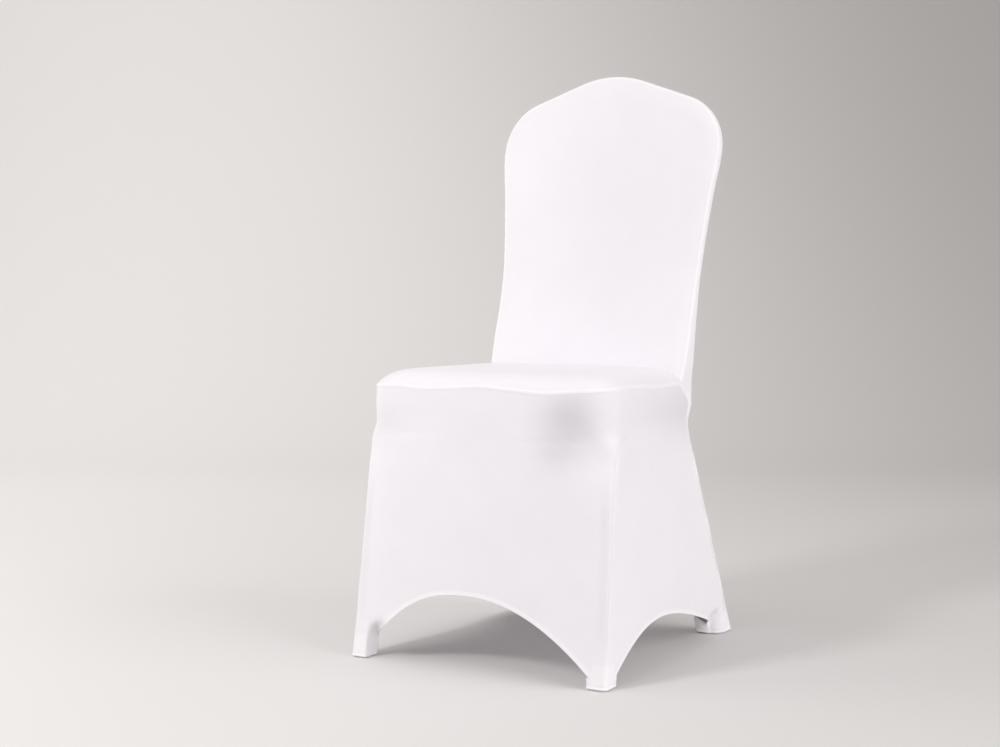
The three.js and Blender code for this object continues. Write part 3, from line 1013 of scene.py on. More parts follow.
@dataclass
class BackCover:
    """The two panels of the back."""

    seat_height: float = 427.0
    crease_rise: float = 14.0
    crease_power: float = 4.0
    pad_depth: float = 6.0
    pad_edge: float = 30.0
    rear_bow: float = 1.5
    rear_bow_power: float = 6.0
    face_inset: float = 9.0
    pocket_edge: float = 0.855
    pocket_line: float = 0.887
    face_length: float = 470.0
    upper_length: float = 388.0
    lower_length: float = 380.0
    pitch: float = 5.5

    def crease(self, across: Array) -> Array:
        """Height at which the inside back meets the seat."""
        return self.seat_height + self.crease_rise * (1 - np.abs(across) ** self.crease_power)

    def rise(self, distance: Array) -> Array:
        """Share of the padded face's depth that it has reached at a distance from its edge."""
        left = 1 - np.clip(distance / self.pad_edge, 0, 1)
        return 1 - left * left

    def inside_points(self, across: Array, up: Array) -> Array:
        """Points of the inside back.

        Args:
            across: Fractions of the half width, from -1 to 1.
            up: Fractions of the height.

        Returns:
            The points.
        """
        _, top, _, _ = crown.outline(across)
        z = mix(self.crease(across), top, up)
        half = back.half(np.minimum(z, crown.shoulder_height))
        pad = self.pad_depth * self.rise((1 - np.abs(across)) * half) * self.rise(top - z)
        return stack(across * half, back.seam(z) - pad, z)

    def side_strip(self, side: float, up: Array, at: Array) -> Array:
        """Points of the narrow side of the back.

        Args:
            side: -1 for the left, 1 for the right.
            up: Fractions of the height.
            at: Fractions of the way back.

        Returns:
            The points.
        """
        z = mix(self.seat_height, crown.shoulder_height, up)
        along = strip.back(at)
        return stack(side * (back.half(z) - strip.inset(at)), mix(back.seam(z), back.rear(z), along), z)

    def crown_strip(self, across: Array, at: Array) -> Array:
        """Points of the narrow top of the back.

        Args:
            across: Fractions of the half width, from -1 to 1.
            at: Fractions of the way back.

        Returns:
            The points.
        """
        x, z, nx, nz = crown.outline(across)
        y = mix(back.seam(z), back.rear(z), strip.back(at))
        inset = strip.inset(at)
        return stack(x - inset * nx, y, z - inset * nz)

    def rear_face(self, across: Array, up: Array) -> Array:
        """Points of the rear face above the seat.

        Args:
            across: Fractions of the half width, from -1 to 1.
            up: Fractions of the height.

        Returns:
            The points.
        """
        top = self.crown_strip(across, np.ones_like(across))
        z = mix(self.seat_height, top[..., 2], up)
        full = crown.shoulder_half - self.face_inset
        half = back.half(np.minimum(z, crown.shoulder_height)) - self.face_inset
        x = mix(across * full, top[..., 0], up) * (half / full)
        bow = self.rear_bow * (1 - across**2) * (1 - up**self.rear_bow_power)
        return stack(x, back.rear(z) + bow, z)

    def lower_wrap(self, side: float, z: Array, at: Array) -> Array:
        """Points of the wrap round a rear corner below the seat."""
        y = rear_corner.y(z) - rear_corner.lead(z) * (1 - strip.back(at))
        return stack(side * (rear_corner.half(z) - strip.inset(at)), y, z)

    def lower_face(self, across: Array, z: Array) -> Array:
        """Points of the face between the rear legs."""
        half = rear_corner.half(z) - self.face_inset
        return stack(across * half, rear_corner.y(z) + rear_corner.middle(z) * (1 - across**2), z)

    def hem(self, across: Array) -> Array:
        """Height of the rear hem, and of the rear pockets' top seams beside it.

        Args:
            across: Fractions of the half width, from -1 to 1.

        Returns:
            The heights.
        """
        arch = REAR_ARCH.height(across * (REAR_ARCH.ends[1] / self.pocket_edge))
        seam = (np.abs(across) - self.pocket_edge) / (self.pocket_line - self.pocket_edge)
        return mix(arch, POCKET_HEIGHT, np.clip(seam, 0, 1))

    def inside(self) -> Cloth:
        """The inside back.

        Returns:
            The panel.
        """
        across, up = np.meshgrid(crown.columns(self.pitch), spaced(self.face_length, self.pitch))
        shell = weld(Patch(self.inside_points(across, up)))
        return Cloth(
            name="inside_back",
            node="inside_back_panel",
            slot=Slot.STRETCH,
            shell=shell,
            flat=(0.38, 0.48),
            area=0.165,
            sewn_to=("outside_back_panel", "seat_panel"),
            patches=BACK_PAINTED_SHADE,
            hemmed=False,
        )

    def outside(self) -> Cloth:
        """The outside back with its crown strip, its lower wraps and its rear arch.

        Returns:
            The panel.
        """
        across = crown.columns(self.pitch)[::-1]
        at = spaced(BACK_WIDTH, BACK_PITCH, near_end=False)
        up = spaced(self.upper_length, self.pitch, near_start=False, near_end=False)
        upper = np.concatenate(
            [
                self.side_strip(1, up[:, None], at[None, :]),
                self.rear_face(*np.meshgrid(across[1:-1], up)),
                self.side_strip(-1, up[:, None], at[None, ::-1]),
            ],
            axis=1,
        )
        top = self.crown_strip(*np.meshgrid(across, at[::-1]))
        down = spaced(self.lower_length, self.pitch, near_start=False)[::-1]
        corner = mix(self.seat_height, POCKET_HEIGHT, down)
        hem = self.hem(across[1:-1])
        face_z = mix(self.seat_height, hem[None, :], down[:, None])
        lower = np.concatenate(
            [
                self.lower_wrap(1, corner[:, None], at[None, :]),
                self.lower_face(across[1:-1], face_z),
                self.lower_wrap(-1, corner[:, None], at[None, ::-1]),
            ],
            axis=1,
        )
        shell = weld(Patch(lower), Patch(upper), Patch(top))
        return Cloth(
            name="outside_back",
            node="outside_back_panel",
            slot=Slot.STRETCH,
            shell=shell,
            flat=(0.42, 0.88),
            area=0.32,
            sewn_to=("inside_back_panel", "skirt_panel"),
        )


class Part(Enum):
    """Stretch of the skirt that a column is on."""

    FRONT = "front"
    CORNER = "corner"
    SIDE = "side"


class Column(NamedTuple):
    """A place round one half of the skirt."""

    part: Part
    along: float
    side: float


@dataclass
class SkirtCover:
    """The wrap-round skirt with its three arched hems."""

    curl_bottom: float = 20.0
    curl_top: float = 48.0
    curl_start: float = 140.0
    curl_end: float = 205.0
    curl_side: float = 219.0
    curl_half: float = 192.0
    curl_depth: float = 20.0
    foot_front: float = 199.0
    seam_at_tangent: float = 0.31
    seam_at_side: float = 0.475
    wrap_start: float = 150.0
    wrap_edge: float = 185.3
    wrap_face: float = 199.5
    wrap_inside: float = 197.0
    wrap_depth: float = 28.0
    wrap_bottom: float = 30.0
    wrap_top: float = 62.0
    edge_front: float = 0.908
    line_front: float = 0.938
    edge_front_left: float = 0.85
    line_front_left: float = 0.87
    line_side_front: float = 0.035
    edge_side_front: float = 0.048
    edge_side_rear: float = 0.9205
    line_side_rear: float = 0.94
    front_length: float = 218.0
    side_length: float = 380.0
    pitch: float = 5.5
    corner_steps: int = 12
    drop: float = 400.0

    def columns(self) -> list[Column]:
        """Every column of the skirt.

        Returns:
            The columns, from the rear end of the left side round to the rear end of the right side.
        """
        marks = (0, self.edge_front_left, self.line_front_left, self.edge_front, self.line_front, 1)
        front = self.filled(marks, self.front_length)
        marks = (0, self.line_side_front, self.edge_side_front, self.edge_side_rear, self.line_side_rear, 1)
        side = self.filled(marks, self.side_length)
        half = [Column(Part.FRONT, along, 1) for along in front]
        half += [Column(Part.CORNER, i / self.corner_steps, 1) for i in range(1, self.corner_steps + 1)]
        half += [Column(Part.SIDE, along, 1) for along in side[1:]]
        return [column._replace(side=-1) for column in half[:0:-1]] + half

    def filled(self, marks: Sequence[float], length: float) -> list[float]:
        """Fractions through all marks, with even steps of about the pitch between them.

        Args:
            marks: The fractions to pass through.
            length: The whole length.

        Returns:
            The fractions.
        """
        out = [marks[0]]
        for a, b in zip(marks, marks[1:]):
            count = max(3, round((b - a) * length / self.pitch))
            out += list(np.linspace(a, b, count + 1))[1:]
        return out

    def curled(self, points: Array) -> Array:
        """Curls the side's cloth round the rear leg's front corner near the foot.

        Args:
            points: Points of the right side.

        Returns:
            The same points, moved.
        """
        x, y, z = points[:, 0].copy(), points[:, 1].copy(), points[:, 2]
        low = 1 - smoothstep(z, self.curl_bottom, self.curl_top)
        before = (y > self.curl_start) & (y < self.curl_end)
        drawn = np.where(before, low * smoothstep(y, self.curl_start, self.curl_end), 0)
        turning = (y >= self.curl_end) & (y < self.curl_side)
        angle = (y - self.curl_end) / (self.curl_side - self.curl_end) * (math.pi / 2)
        share = np.where(turning, low, 0)
        turned_x = self.curl_half + self.curl_depth * np.sin(angle)
        turned_y = self.curl_side - (self.curl_side - self.foot_front) * np.cos(angle)
        x = mix(x - drawn * self.curl_depth, turned_x, share)
        y = mix(y - drawn * (self.curl_end - self.foot_front), turned_y, share)
        return stack(x, y, z)

    def wrapped(self, points: Array) -> Array:
        """Wraps the front's cloth round a leg's inner side near the foot.

        Args:
            points: Points of the front, as if they were on the right.

        Returns:
            The same points, moved.
        """
        x, y, z = points[:, 0], points[:, 1], points[:, 2]
        low = 1 - smoothstep(z, self.wrap_bottom, self.wrap_top)
        drawn = low * smoothstep(x, self.wrap_start, self.wrap_edge)
        angle = (self.wrap_face - x) / (self.wrap_face - self.wrap_edge) * (math.pi / 2)
        turned_x = mix(x, self.wrap_face - (self.wrap_face - self.wrap_inside) * np.sin(angle), low)
        turned_y = y + low * self.wrap_depth * (1 - np.cos(angle))
        flat = x < self.wrap_edge
        inside = x < self.wrap_face
        new_x = np.where(flat, x + drawn * (self.wrap_inside - self.wrap_edge), turned_x)
        new_y = np.where(flat, y + drawn * self.wrap_depth, turned_y)
        return stack(np.where(inside, new_x, x), np.where(inside, new_y, y), z)

    def points(self, column: Column, z: Array) -> Array:
        """Points of one column.

        Args:
            column: The column.
            z: Heights.

        Returns:
            One point for each height.
        """
        z = np.asarray(z, float)
        half, corner_y = skirt_front.half(z), skirt_front.corner(z)
        radius, middle, bend = skirt_front.radius(z), skirt_front.middle(z), skirt_front.bend(z)
        seam = np.stack([rear_corner.half(z), rear_corner.y(z) - rear_corner.lead(z)], -1)
        corner = np.stack([half, corner_y], -1)
        tangent = half - radius

        def front_y(x: Array) -> Array:
            """The front's y at a distance from the middle."""
            return corner_y + (middle - corner_y) * (1 - (x / half) ** bend)

        start = np.stack([tangent, front_y(tangent)], -1)
        way = seam - corner
        end = corner + way * (radius / np.linalg.norm(way, axis=-1))[:, None]
        t = column.along
        if column.part is Part.FRONT:
            place = np.stack([t * tangent, front_y(t * tangent)], -1)
        elif column.part is Part.CORNER:
            place = (1 - t) ** 2 * start + 2 * t * (1 - t) * corner + t * t * end
        else:
            place = mix(end, seam, t)
        points = self.curled(stack(place[:, 0], place[:, 1], z))
        if column.side < 0 and column.part is Part.FRONT:
            points = self.wrapped(points)
        points[:, 0] *= column.side
        return points

    def seam_height(self, column: Column) -> float:
        """Height of the seat seam at a column.

        Args:
            column: The column.

        Returns:
            The height.
        """
        ends = {
            Part.FRONT: (0, self.seam_at_tangent),
            Part.CORNER: (self.seam_at_tangent, self.seam_at_side),
            Part.SIDE: (self.seam_at_side, 1),
        }
        return float(seat_seam.z(column.side * mix(*ends[column.part], column.along)))

    def hem_height(self, column: Column) -> float:
        """Height of the hem at a column, or of a pocket's top seam beside it.

        Args:
            column: The column.

        Returns:
            The height.
        """
        along = column.along
        if column.part is Part.CORNER:
            return POCKET_HEIGHT
        if column.part is Part.FRONT:
            arch = FRONT_ARCH.height(column.side * along * (FRONT_ARCH.ends[1] / self.edge_front))
            edge, line = self.edge_front, self.line_front
            if column.side < 0:
                edge, line = self.edge_front_left, self.line_front_left
            seam = (along - edge) / (line - edge)
            return float(mix(arch, POCKET_HEIGHT, np.clip(seam, 0, 1)))
        arch = LEFT_ARCH if column.side < 0 else RIGHT_ARCH
        reach = (along - self.edge_side_front) / (self.edge_side_rear - self.edge_side_front)
        height = arch.height(mix(arch.ends[0], arch.ends[1], np.clip(reach, 0, 1)))
        front_seam = (self.edge_side_front - along) / (self.edge_side_front - self.line_side_front)
        rear_seam = (along - self.edge_side_rear) / (self.line_side_rear - self.edge_side_rear)
        return float(mix(height, POCKET_HEIGHT, np.clip(max(front_seam, rear_seam), 0, 1)))

    def build(self) -> Cloth:
        """The skirt.

        Returns:
            The panel.
        """
        down = spaced(self.drop, self.pitch)[::-1]
        grid = [
            self.points(column, mix(self.seam_height(column), self.hem_height(column), down))
            for column in self.columns()
        ]
        shell = weld(Patch(np.stack(grid, axis=1)))
        return Cloth(
            name="skirt",
            node="skirt_panel",
            slot=Slot.STRETCH,
            shell=shell,
            flat=(1.15, 0.42),
            area=0.42,
            sewn_to=("seat_panel", "outside_back_panel"),
            folds=self.folds(),
            patches=SKIRT_PAINTED_SHADE,
        )

    def folds(self) -> tuple[Fold, ...]:
        """The creases beside the front legs, and those where the seat's edge presses out the cloth, most of
        them with painted shade along their lines.

        Returns:
            The folds.
        """
        made = [
            Fold(RAIL_TOP, 0.4, 2.4, 30.0),
            Fold(RAIL_EDGE, -0.6, 2.4, 30.0, 0.07),
            Fold(FRONT_CREASE, -0.7, 2.0, 22.0, 0.12),
        ]
        for side in (-1, 1):
            crease = tuple(place._replace(x=place.x * side) for place in LEG_CREASE)
            hollow = tuple(place._replace(x=place.x * side) for place in LEG_HOLLOW)
            made += [Fold(crease, -0.8, 1.5, 40.0, 0.22), Fold(hollow, -1.6, 7.5, 60.0, 0.14)]
        return tuple(made)


@dataclass
class SeatCover:
    """The domed seat top."""

    skirt: SkirtCover
    back: BackCover
    dome_height: float = 456.0
    centre_y: float = -50.0
    power: float = 12.0
    reach: float = 200.0
    pitch: float = 6.0

    def build(self) -> Cloth:
        """The seat top, in rings from its seam to its middle.

        Returns:
            The panel.
        """
        skirt = self.skirt
        rim = [skirt.points(column, np.array([skirt.seam_height(column)]))[0] for column in skirt.columns()]
        across = crown.columns(self.pitch)[1:-1][::-1]
        crease = self.back.inside_points(across, np.zeros_like(across))
        ring = np.concatenate([np.array(rim), crease, np.array(rim[:1])])
        centre = np.array([0, self.centre_y, self.dome_height])
        share = 1 - spaced(self.reach, self.pitch, near_end=False)
        place = mix(centre[None, None, :], ring[None, :, :], share[:, None, None])
        place[..., 2] = mix(ring[None, :, 2], self.dome_height, 1 - share[:, None] ** self.power)
        shell = weld(Patch(place))
        return Cloth(
            name="seat_top",
            node="seat_panel",
            slot=Slot.STRETCH,
            shell=shell,
            flat=(0.42, 0.34),
            area=0.13,
            sewn_to=("inside_back_panel", "skirt_panel"),
            hemmed=False,
        )


class PocketColumn(NamedTuple):
    """A column of a foot pocket: the height of its rim, and its points by height."""

    rim: float
    at: Callable[[Array], Array]


# Start, corner and end of a turn, from the places where a pocket's outer wall ends and starts
Turn = Callable[[Array, Array], Sequence[tuple[Array, Array]]]


@dataclass
class FootPocket:
    """The doubled pocket that a foot stands in."""

    skirt: SkirtCover
    back: BackCover
    turn: float = 5.0
    rim_step: float = 0.6
    inner_rim: float = 28.0
    last_across: float = 0.995
    turn_steps: int = 5
    wall_height: float = 30.0
    wall_pitch: float = 2.5

    def skirt_column(self, column: Column) -> PocketColumn:
        """A pocket column below one of the skirt's.

        Args:
            column: The skirt's column.

        Returns:
            The pocket's column, as if it were on the right.
        """
        to_right = np.array([column.side, 1, 1])
        return PocketColumn(self.skirt.hem_height(column), lambda z: self.skirt.points(column, z) * to_right)

    def front_outer(self, side: int) -> list[PocketColumn]:
        """Outer columns of a front pocket.

        Args:
            side: -1 for the left, 1 for the right.

        Returns:
            The columns, as if they were on the right.
        """
        edge = self.skirt.edge_front_left if side < 0 else self.skirt.edge_front
        shared = [
            column
            for column in self.skirt.columns()
            if column.side > 0
            and (
                column.part is Part.CORNER
                or (column.part is Part.FRONT and column.along >= edge)
                or (column.part is Part.SIDE and column.along <= self.skirt.edge_side_front)
            )
        ]
        return [self.skirt_column(column._replace(side=side)) for column in shared]

    def rear_outer(self) -> list[PocketColumn]:
        """Outer columns of a rear pocket.

        Returns:
            The columns.
        """
        skirt, cover = self.skirt, self.back
        shared = [
            column
            for column in skirt.columns()
            if column.side > 0 and column.part is Part.SIDE and column.along >= skirt.edge_side_rear
        ]
        wraps = spaced(BACK_WIDTH, BACK_PITCH, near_end=False)[1:]
        across = [a for a in crown.columns(cover.pitch)[::-1][1:] if a > cover.pocket_edge]
        across = [a for a in across if a < self.last_across] + [cover.pocket_edge]
        made = [self.skirt_column(column) for column in shared]
        made += [
            PocketColumn(POCKET_HEIGHT, lambda z, at=at: cover.lower_wrap(1, z, np.full_like(z, at)))
            for at in wraps
        ]
        rims = cover.hem(np.array(across)).tolist()
        made += [
            PocketColumn(rim, lambda z, a=a: cover.lower_face(np.full_like(z, a), z))
            for a, rim in zip(across, rims)
        ]
        return made

    def corner_columns(self, outer: list[PocketColumn], rim: float, places: Turn) -> list[PocketColumn]:
        """Columns round one inner corner.

        Args:
            outer: The outer columns.
            rim: Height of the rim there.
            places: Start, corner and end of the turn, from the outer wall's end and start.

        Returns:
            The columns.
        """

        def at(z: Array, t: float) -> Array:
            """Points at a share of the turn.

            Args:
                z: Their heights.
                t: The share, from 0 to 1.

            Returns:
                The points.
            """
            p, q = outer[-1].at(z), outer[0].at(z)
            a, b, c = (np.stack(place, -1) for place in places(p, q))
            flat = (1 - t) ** 2 * a + 2 * t * (1 - t) * b + t * t * c
            return stack(flat[:, 0], flat[:, 1], z)

        shares = np.linspace(0, 1, self.turn_steps + 1)
        return [PocketColumn(rim, lambda z, t=t: at(z, t)) for t in shares]

    def inner(self, outer: list[PocketColumn], front: bool, side: int) -> list[PocketColumn]:
        """Inner columns, from the end of the outer wall round to its start.

        Args:
            outer: The outer columns.
            front: Whether it is a front foot's.
            side: -1 for the left, 1 for the right.

        Returns:
            The columns.
        """
        turn, step, low = self.turn, self.rim_step, HEM_END - self.rim_step

        def front_first(p: Array, q: Array) -> Sequence[tuple[Array, Array]]:
            """From the side's wall to the rear wall."""
            return (p[:, 0], p[:, 1] + step), (p[:, 0], p[:, 1] + turn), (p[:, 0] - turn, p[:, 1] + turn)

        def wrapped_last(p: Array, q: Array) -> Sequence[tuple[Array, Array]]:
            """From the rear wall to the front's wall, where the front's cloth is wrapped round the leg."""
            return (q[:, 0] + turn, q[:, 1] + turn), (q[:, 0], q[:, 1] + turn), (q[:, 0], q[:, 1] + step)

        def front_middle(p: Array, q: Array) -> Sequence[tuple[Array, Array]]:
            """From the rear wall to the inner wall."""
            return (q[:, 0], p[:, 1] + turn), (q[:, 0] - turn, p[:, 1] + turn), (q[:, 0] - turn, p[:, 1])

        def front_last(p: Array, q: Array) -> Sequence[tuple[Array, Array]]:
            """From the inner wall to the front's wall."""
            return (q[:, 0] - turn, q[:, 1] + turn), (q[:, 0] - turn, q[:, 1]), (q[:, 0] - step, q[:, 1])

        def rear_first(p: Array, q: Array) -> Sequence[tuple[Array, Array]]:
            """From the rear face's wall to the inner wall."""
            return (p[:, 0] - step, p[:, 1]), (p[:, 0] - turn, p[:, 1]), (p[:, 0] - turn, p[:, 1] - turn)

        def rear_last(p: Array, q: Array) -> Sequence[tuple[Array, Array]]:
            """From the inner wall to the side's wall."""
            return (p[:, 0] - turn, q[:, 1] + turn), (p[:, 0] - turn, q[:, 1]), (p[:, 0], q[:, 1])

        if not front:
            turns = [(low, rear_first), (self.inner_rim, rear_last)]
        elif side < 0:
            turns = [(low, front_first), (low, wrapped_last)]
        else:
            turns = [(low, front_first), (self.inner_rim, front_middle), (low, front_last)]
        return [column for rim, places in turns for column in self.corner_columns(outer, rim, places)]

    def build(self, front: bool, side: int) -> Cloth:
        """One pocket.

        Args:
            front: Whether it is a front foot's.
            side: -1 for the left, 1 for the right.

        Returns:
            The pocket.
        """
        outer = self.front_outer(side) if front else self.rear_outer()
        columns = outer + self.inner(outer, front, side)
        columns.append(columns[0])
        zero = np.zeros(1)
        base = np.array([column.at(zero)[0] for column in columns])
        centre = (base.min(axis=0) + base.max(axis=0)) / 2
        rows = []
        for row in SOLE:
            ring = np.array([column.at(np.array([row.z], float))[0] for column in columns])
            rows.append(np.column_stack([centre[:2] + (ring[:, :2] - centre[:2]) * row.share, ring[:, 2]]))
        for share in spaced(self.wall_height, self.wall_pitch)[1:]:
            heights = [mix(SOLE[-1].z, column.rim, share) for column in columns]
            rows.append(np.array([column.at(np.array([z]))[0] for column, z in zip(columns, heights)]))
        grid = np.stack(rows)
        if side < 0:
            grid = grid[:, ::-1] * np.array([-1, 1, 1])
        name = f"{'front' if front else 'rear'}_{'left' if side < 0 else 'right'}_foot_pocket"
        size = (0.125, 0.038) if front else (0.16, 0.044)
        return Cloth(
            name=f"{name}_cloth",
            node=name,
            slot=Slot.DOUBLED,
            shell=weld(Patch(grid)),
            flat=size,
            area=size[0] * size[1],
            sewn_to=("skirt_panel",) if front else ("skirt_panel", "outside_back_panel"),
            sole=SoleRelief(),
        )


@dataclass
class StitchRows:
    """Rows of small stitches along sewn lines."""

    name: str
    rows: list[tuple[Array, Array]]
    pitch: float = 3.4
    length: float = 2.5
    width: float = 0.55
    height: float = 0.4
    lift: float = 0.12

    def guide(self) -> bpy.types.Object:
        """The lines to sew along, each point with the direction that the cloth faces there.

        Returns:
            The lines as one object of loose edges.
        """
        points = np.concatenate([p + n * self.lift for p, n in self.rows]) / METRE
        facing = np.concatenate([n for _, n in self.rows])
        edges, start = [], 0
        for line, _ in self.rows:
            edges += [(start + i, start + i + 1) for i in range(len(line) - 1)]
            start += len(line)
        mesh = bpy.data.meshes.new(self.name)
        mesh.from_pydata(points.tolist(), edges, [])
        mesh.attributes.new("facing", "FLOAT_VECTOR", "POINT").data.foreach_set("vector", facing.ravel())
        piece = bpy.data.objects.new(self.name, mesh)
        bpy.context.scene.collection.objects.link(piece)
        return piece

    def build(self, sewing: bpy.types.NodeTree, thread: bpy.types.Material) -> bpy.types.Object:
        """Sews the stitches as a plain mesh.

        Args:
            sewing: The shared node tree that lays stitches along lines.
            thread: The thread's material.

        Returns:
            The stitches.
        """
        piece = self.guide()
        modifier = piece.modifiers.new("sewing", "NODES")
        modifier.node_group = sewing
        given = {
            "Pitch": self.pitch / METRE,
            "Stitch size": (self.length / 2 / METRE, self.width / 2 / METRE, self.height / 2 / METRE),
            "Thread": thread,
        }
        for item in sewing.interface.items_tree:
            if item.in_out == "INPUT" and item.name in given:
                modifier[item.identifier] = given[item.name]
        shown = piece.evaluated_get(bpy.context.evaluated_depsgraph_get())
        plain = bpy.data.meshes.new_from_object(shown)
        piece.modifiers.clear()
        piece.data = plain
        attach(piece, "root")
        return piece


# Faces round and along a stitch
BEAD_SEGMENTS = 6
BEAD_RINGS = 5


def sewing_tree() -> bpy.types.NodeTree:
    """Geometry nodes that lay a small stitch at even steps along lines, flat on the cloth.

    Returns:
        The node tree.
    """
    tree = bpy.data.node_groups.new("sewing", "GeometryNodeTree")
    tree.interface.new_socket("Geometry", in_out="INPUT", socket_type="NodeSocketGeometry")
    tree.interface.new_socket("Pitch", in_out="INPUT", socket_type="NodeSocketFloat")
    tree.interface.new_socket("Stitch size", in_out="INPUT", socket_type="NodeSocketVector")
    tree.interface.new_socket("Thread", in_out="INPUT", socket_type="NodeSocketMaterial")
    tree.interface.new_socket("Geometry", in_out="OUTPUT", socket_type="NodeSocketGeometry")
    nodes, links = tree.nodes, tree.links
    given, out = nodes.new("NodeGroupInput"), nodes.new("NodeGroupOutput")
    curve = nodes.new("GeometryNodeMeshToCurve")
    even = nodes.new("GeometryNodeResampleCurve")
    even.mode = "LENGTH"
    along = nodes.new("GeometryNodeInputTangent")
    facing = nodes.new("GeometryNodeInputNamedAttribute")
    facing.data_type = "FLOAT_VECTOR"
    facing.inputs["Name"].default_value = "facing"
    turn = nodes.new("FunctionNodeAxesToRotation")
    turn.primary_axis, turn.secondary_axis = "X", "Z"
    bead = nodes.new("GeometryNodeMeshUVSphere")
    bead.inputs["Segments"].default_value = BEAD_SEGMENTS
    bead.inputs["Rings"].default_value = BEAD_RINGS
    bead.inputs["Radius"].default_value = 1.0
    shape = nodes.new("GeometryNodeTransform")
    place = nodes.new("GeometryNodeInstanceOnPoints")
    real = nodes.new("GeometryNodeRealizeInstances")
    smooth = nodes.new("GeometryNodeSetShadeSmooth")
    finish = nodes.new("GeometryNodeSetMaterial")
    links.new(given.outputs["Geometry"], curve.inputs["Mesh"])
    links.new(curve.outputs["Curve"], even.inputs["Curve"])
    links.new(given.outputs["Pitch"], even.inputs["Length"])
    links.new(bead.outputs["Mesh"], shape.inputs["Geometry"])
    links.new(given.outputs["Stitch size"], shape.inputs["Scale"])
    links.new(along.outputs["Tangent"], turn.inputs["Primary Axis"])
    links.new(facing.outputs["Attribute"], turn.inputs["Secondary Axis"])
    links.new(even.outputs["Curve"], place.inputs["Points"])
    links.new(shape.outputs["Geometry"], place.inputs["Instance"])
    links.new(turn.outputs["Rotation"], place.inputs["Rotation"])
    links.new(place.outputs["Instances"], real.inputs["Geometry"])
    links.new(real.outputs["Geometry"], smooth.inputs["Geometry"])
    links.new(smooth.outputs["Geometry"], finish.inputs["Geometry"])
    links.new(given.outputs["Thread"], finish.inputs["Material"])
    links.new(finish.outputs["Geometry"], out.inputs["Geometry"])
    return tree


def new_material(name: str, settings: dict[str, float]) -> tuple[bpy.types.Material, bpy.types.Node]:
    """Makes a material and sets numbers of its shader.

    Args:
        name: The material's name.
        settings: Each socket's name and number.

    Returns:
        The material and its shader.
    """
    material = bpy.data.materials.new(name)
    material.use_nodes = True
    shader = material.node_tree.nodes["Principled BSDF"]
    for socket, value in settings.items():
        shader.inputs[socket].default_value = value
    return material, shader


def add_bump(shader: bpy.types.Node, height: bpy.types.NodeSocket, strength: float, depth: float) -> None:
    """Raises a surface by a height.

    Args:
        shader: The surface's shader.
        height: The height, from 0 to 1.
        strength: How strongly it shows.
        depth: What 1 stands for, in metres.
    """
    tree = shader.id_data
    bump = tree.nodes.new("ShaderNodeBump")
    bump.inputs["Strength"].default_value = strength
    bump.inputs["Distance"].default_value = depth
    tree.links.new(height, bump.inputs["Height"])
    tree.links.new(bump.outputs["Normal"], shader.inputs["Normal"])


def add_blend(
    tree: bpy.types.NodeTree, share: bpy.types.NodeSocket, a: bpy.types.NodeSocket, b: bpy.types.NodeSocket
) -> bpy.types.NodeSocket:
    """Adds a node that mixes two colours.

    Args:
        tree: The nodes.
        share: Share of the second colour.
        a: The first colour.
        b: The second colour.

    Returns:
        The mixed colour.
    """
    blend = tree.nodes.new("ShaderNodeMix")
    blend.data_type = "RGBA"
    tree.links.new(share, blend.inputs["Factor"])
    tree.links.new(a, blend.inputs["A"])
    tree.links.new(b, blend.inputs["B"])
    return blend.outputs["Result"]


def add_maths(
    tree: bpy.types.NodeTree, operation: str, a: bpy.types.NodeSocket, b: bpy.types.NodeSocket | float = 0.0
) -> bpy.types.NodeSocket:
    """Adds a node that works on numbers.

    Args:
        tree: The nodes.
        operation: What it does.
        a: The first number.
        b: The second number, where it takes one.

    Returns:
        The result.
    """
    node = tree.nodes.new("ShaderNodeMath")
    node.operation = operation
    tree.links.new(a, node.inputs[0])
    if isinstance(b, float):
        node.inputs[1].default_value = b
    else:
        tree.links.new(b, node.inputs[1])
    return node.outputs[0]


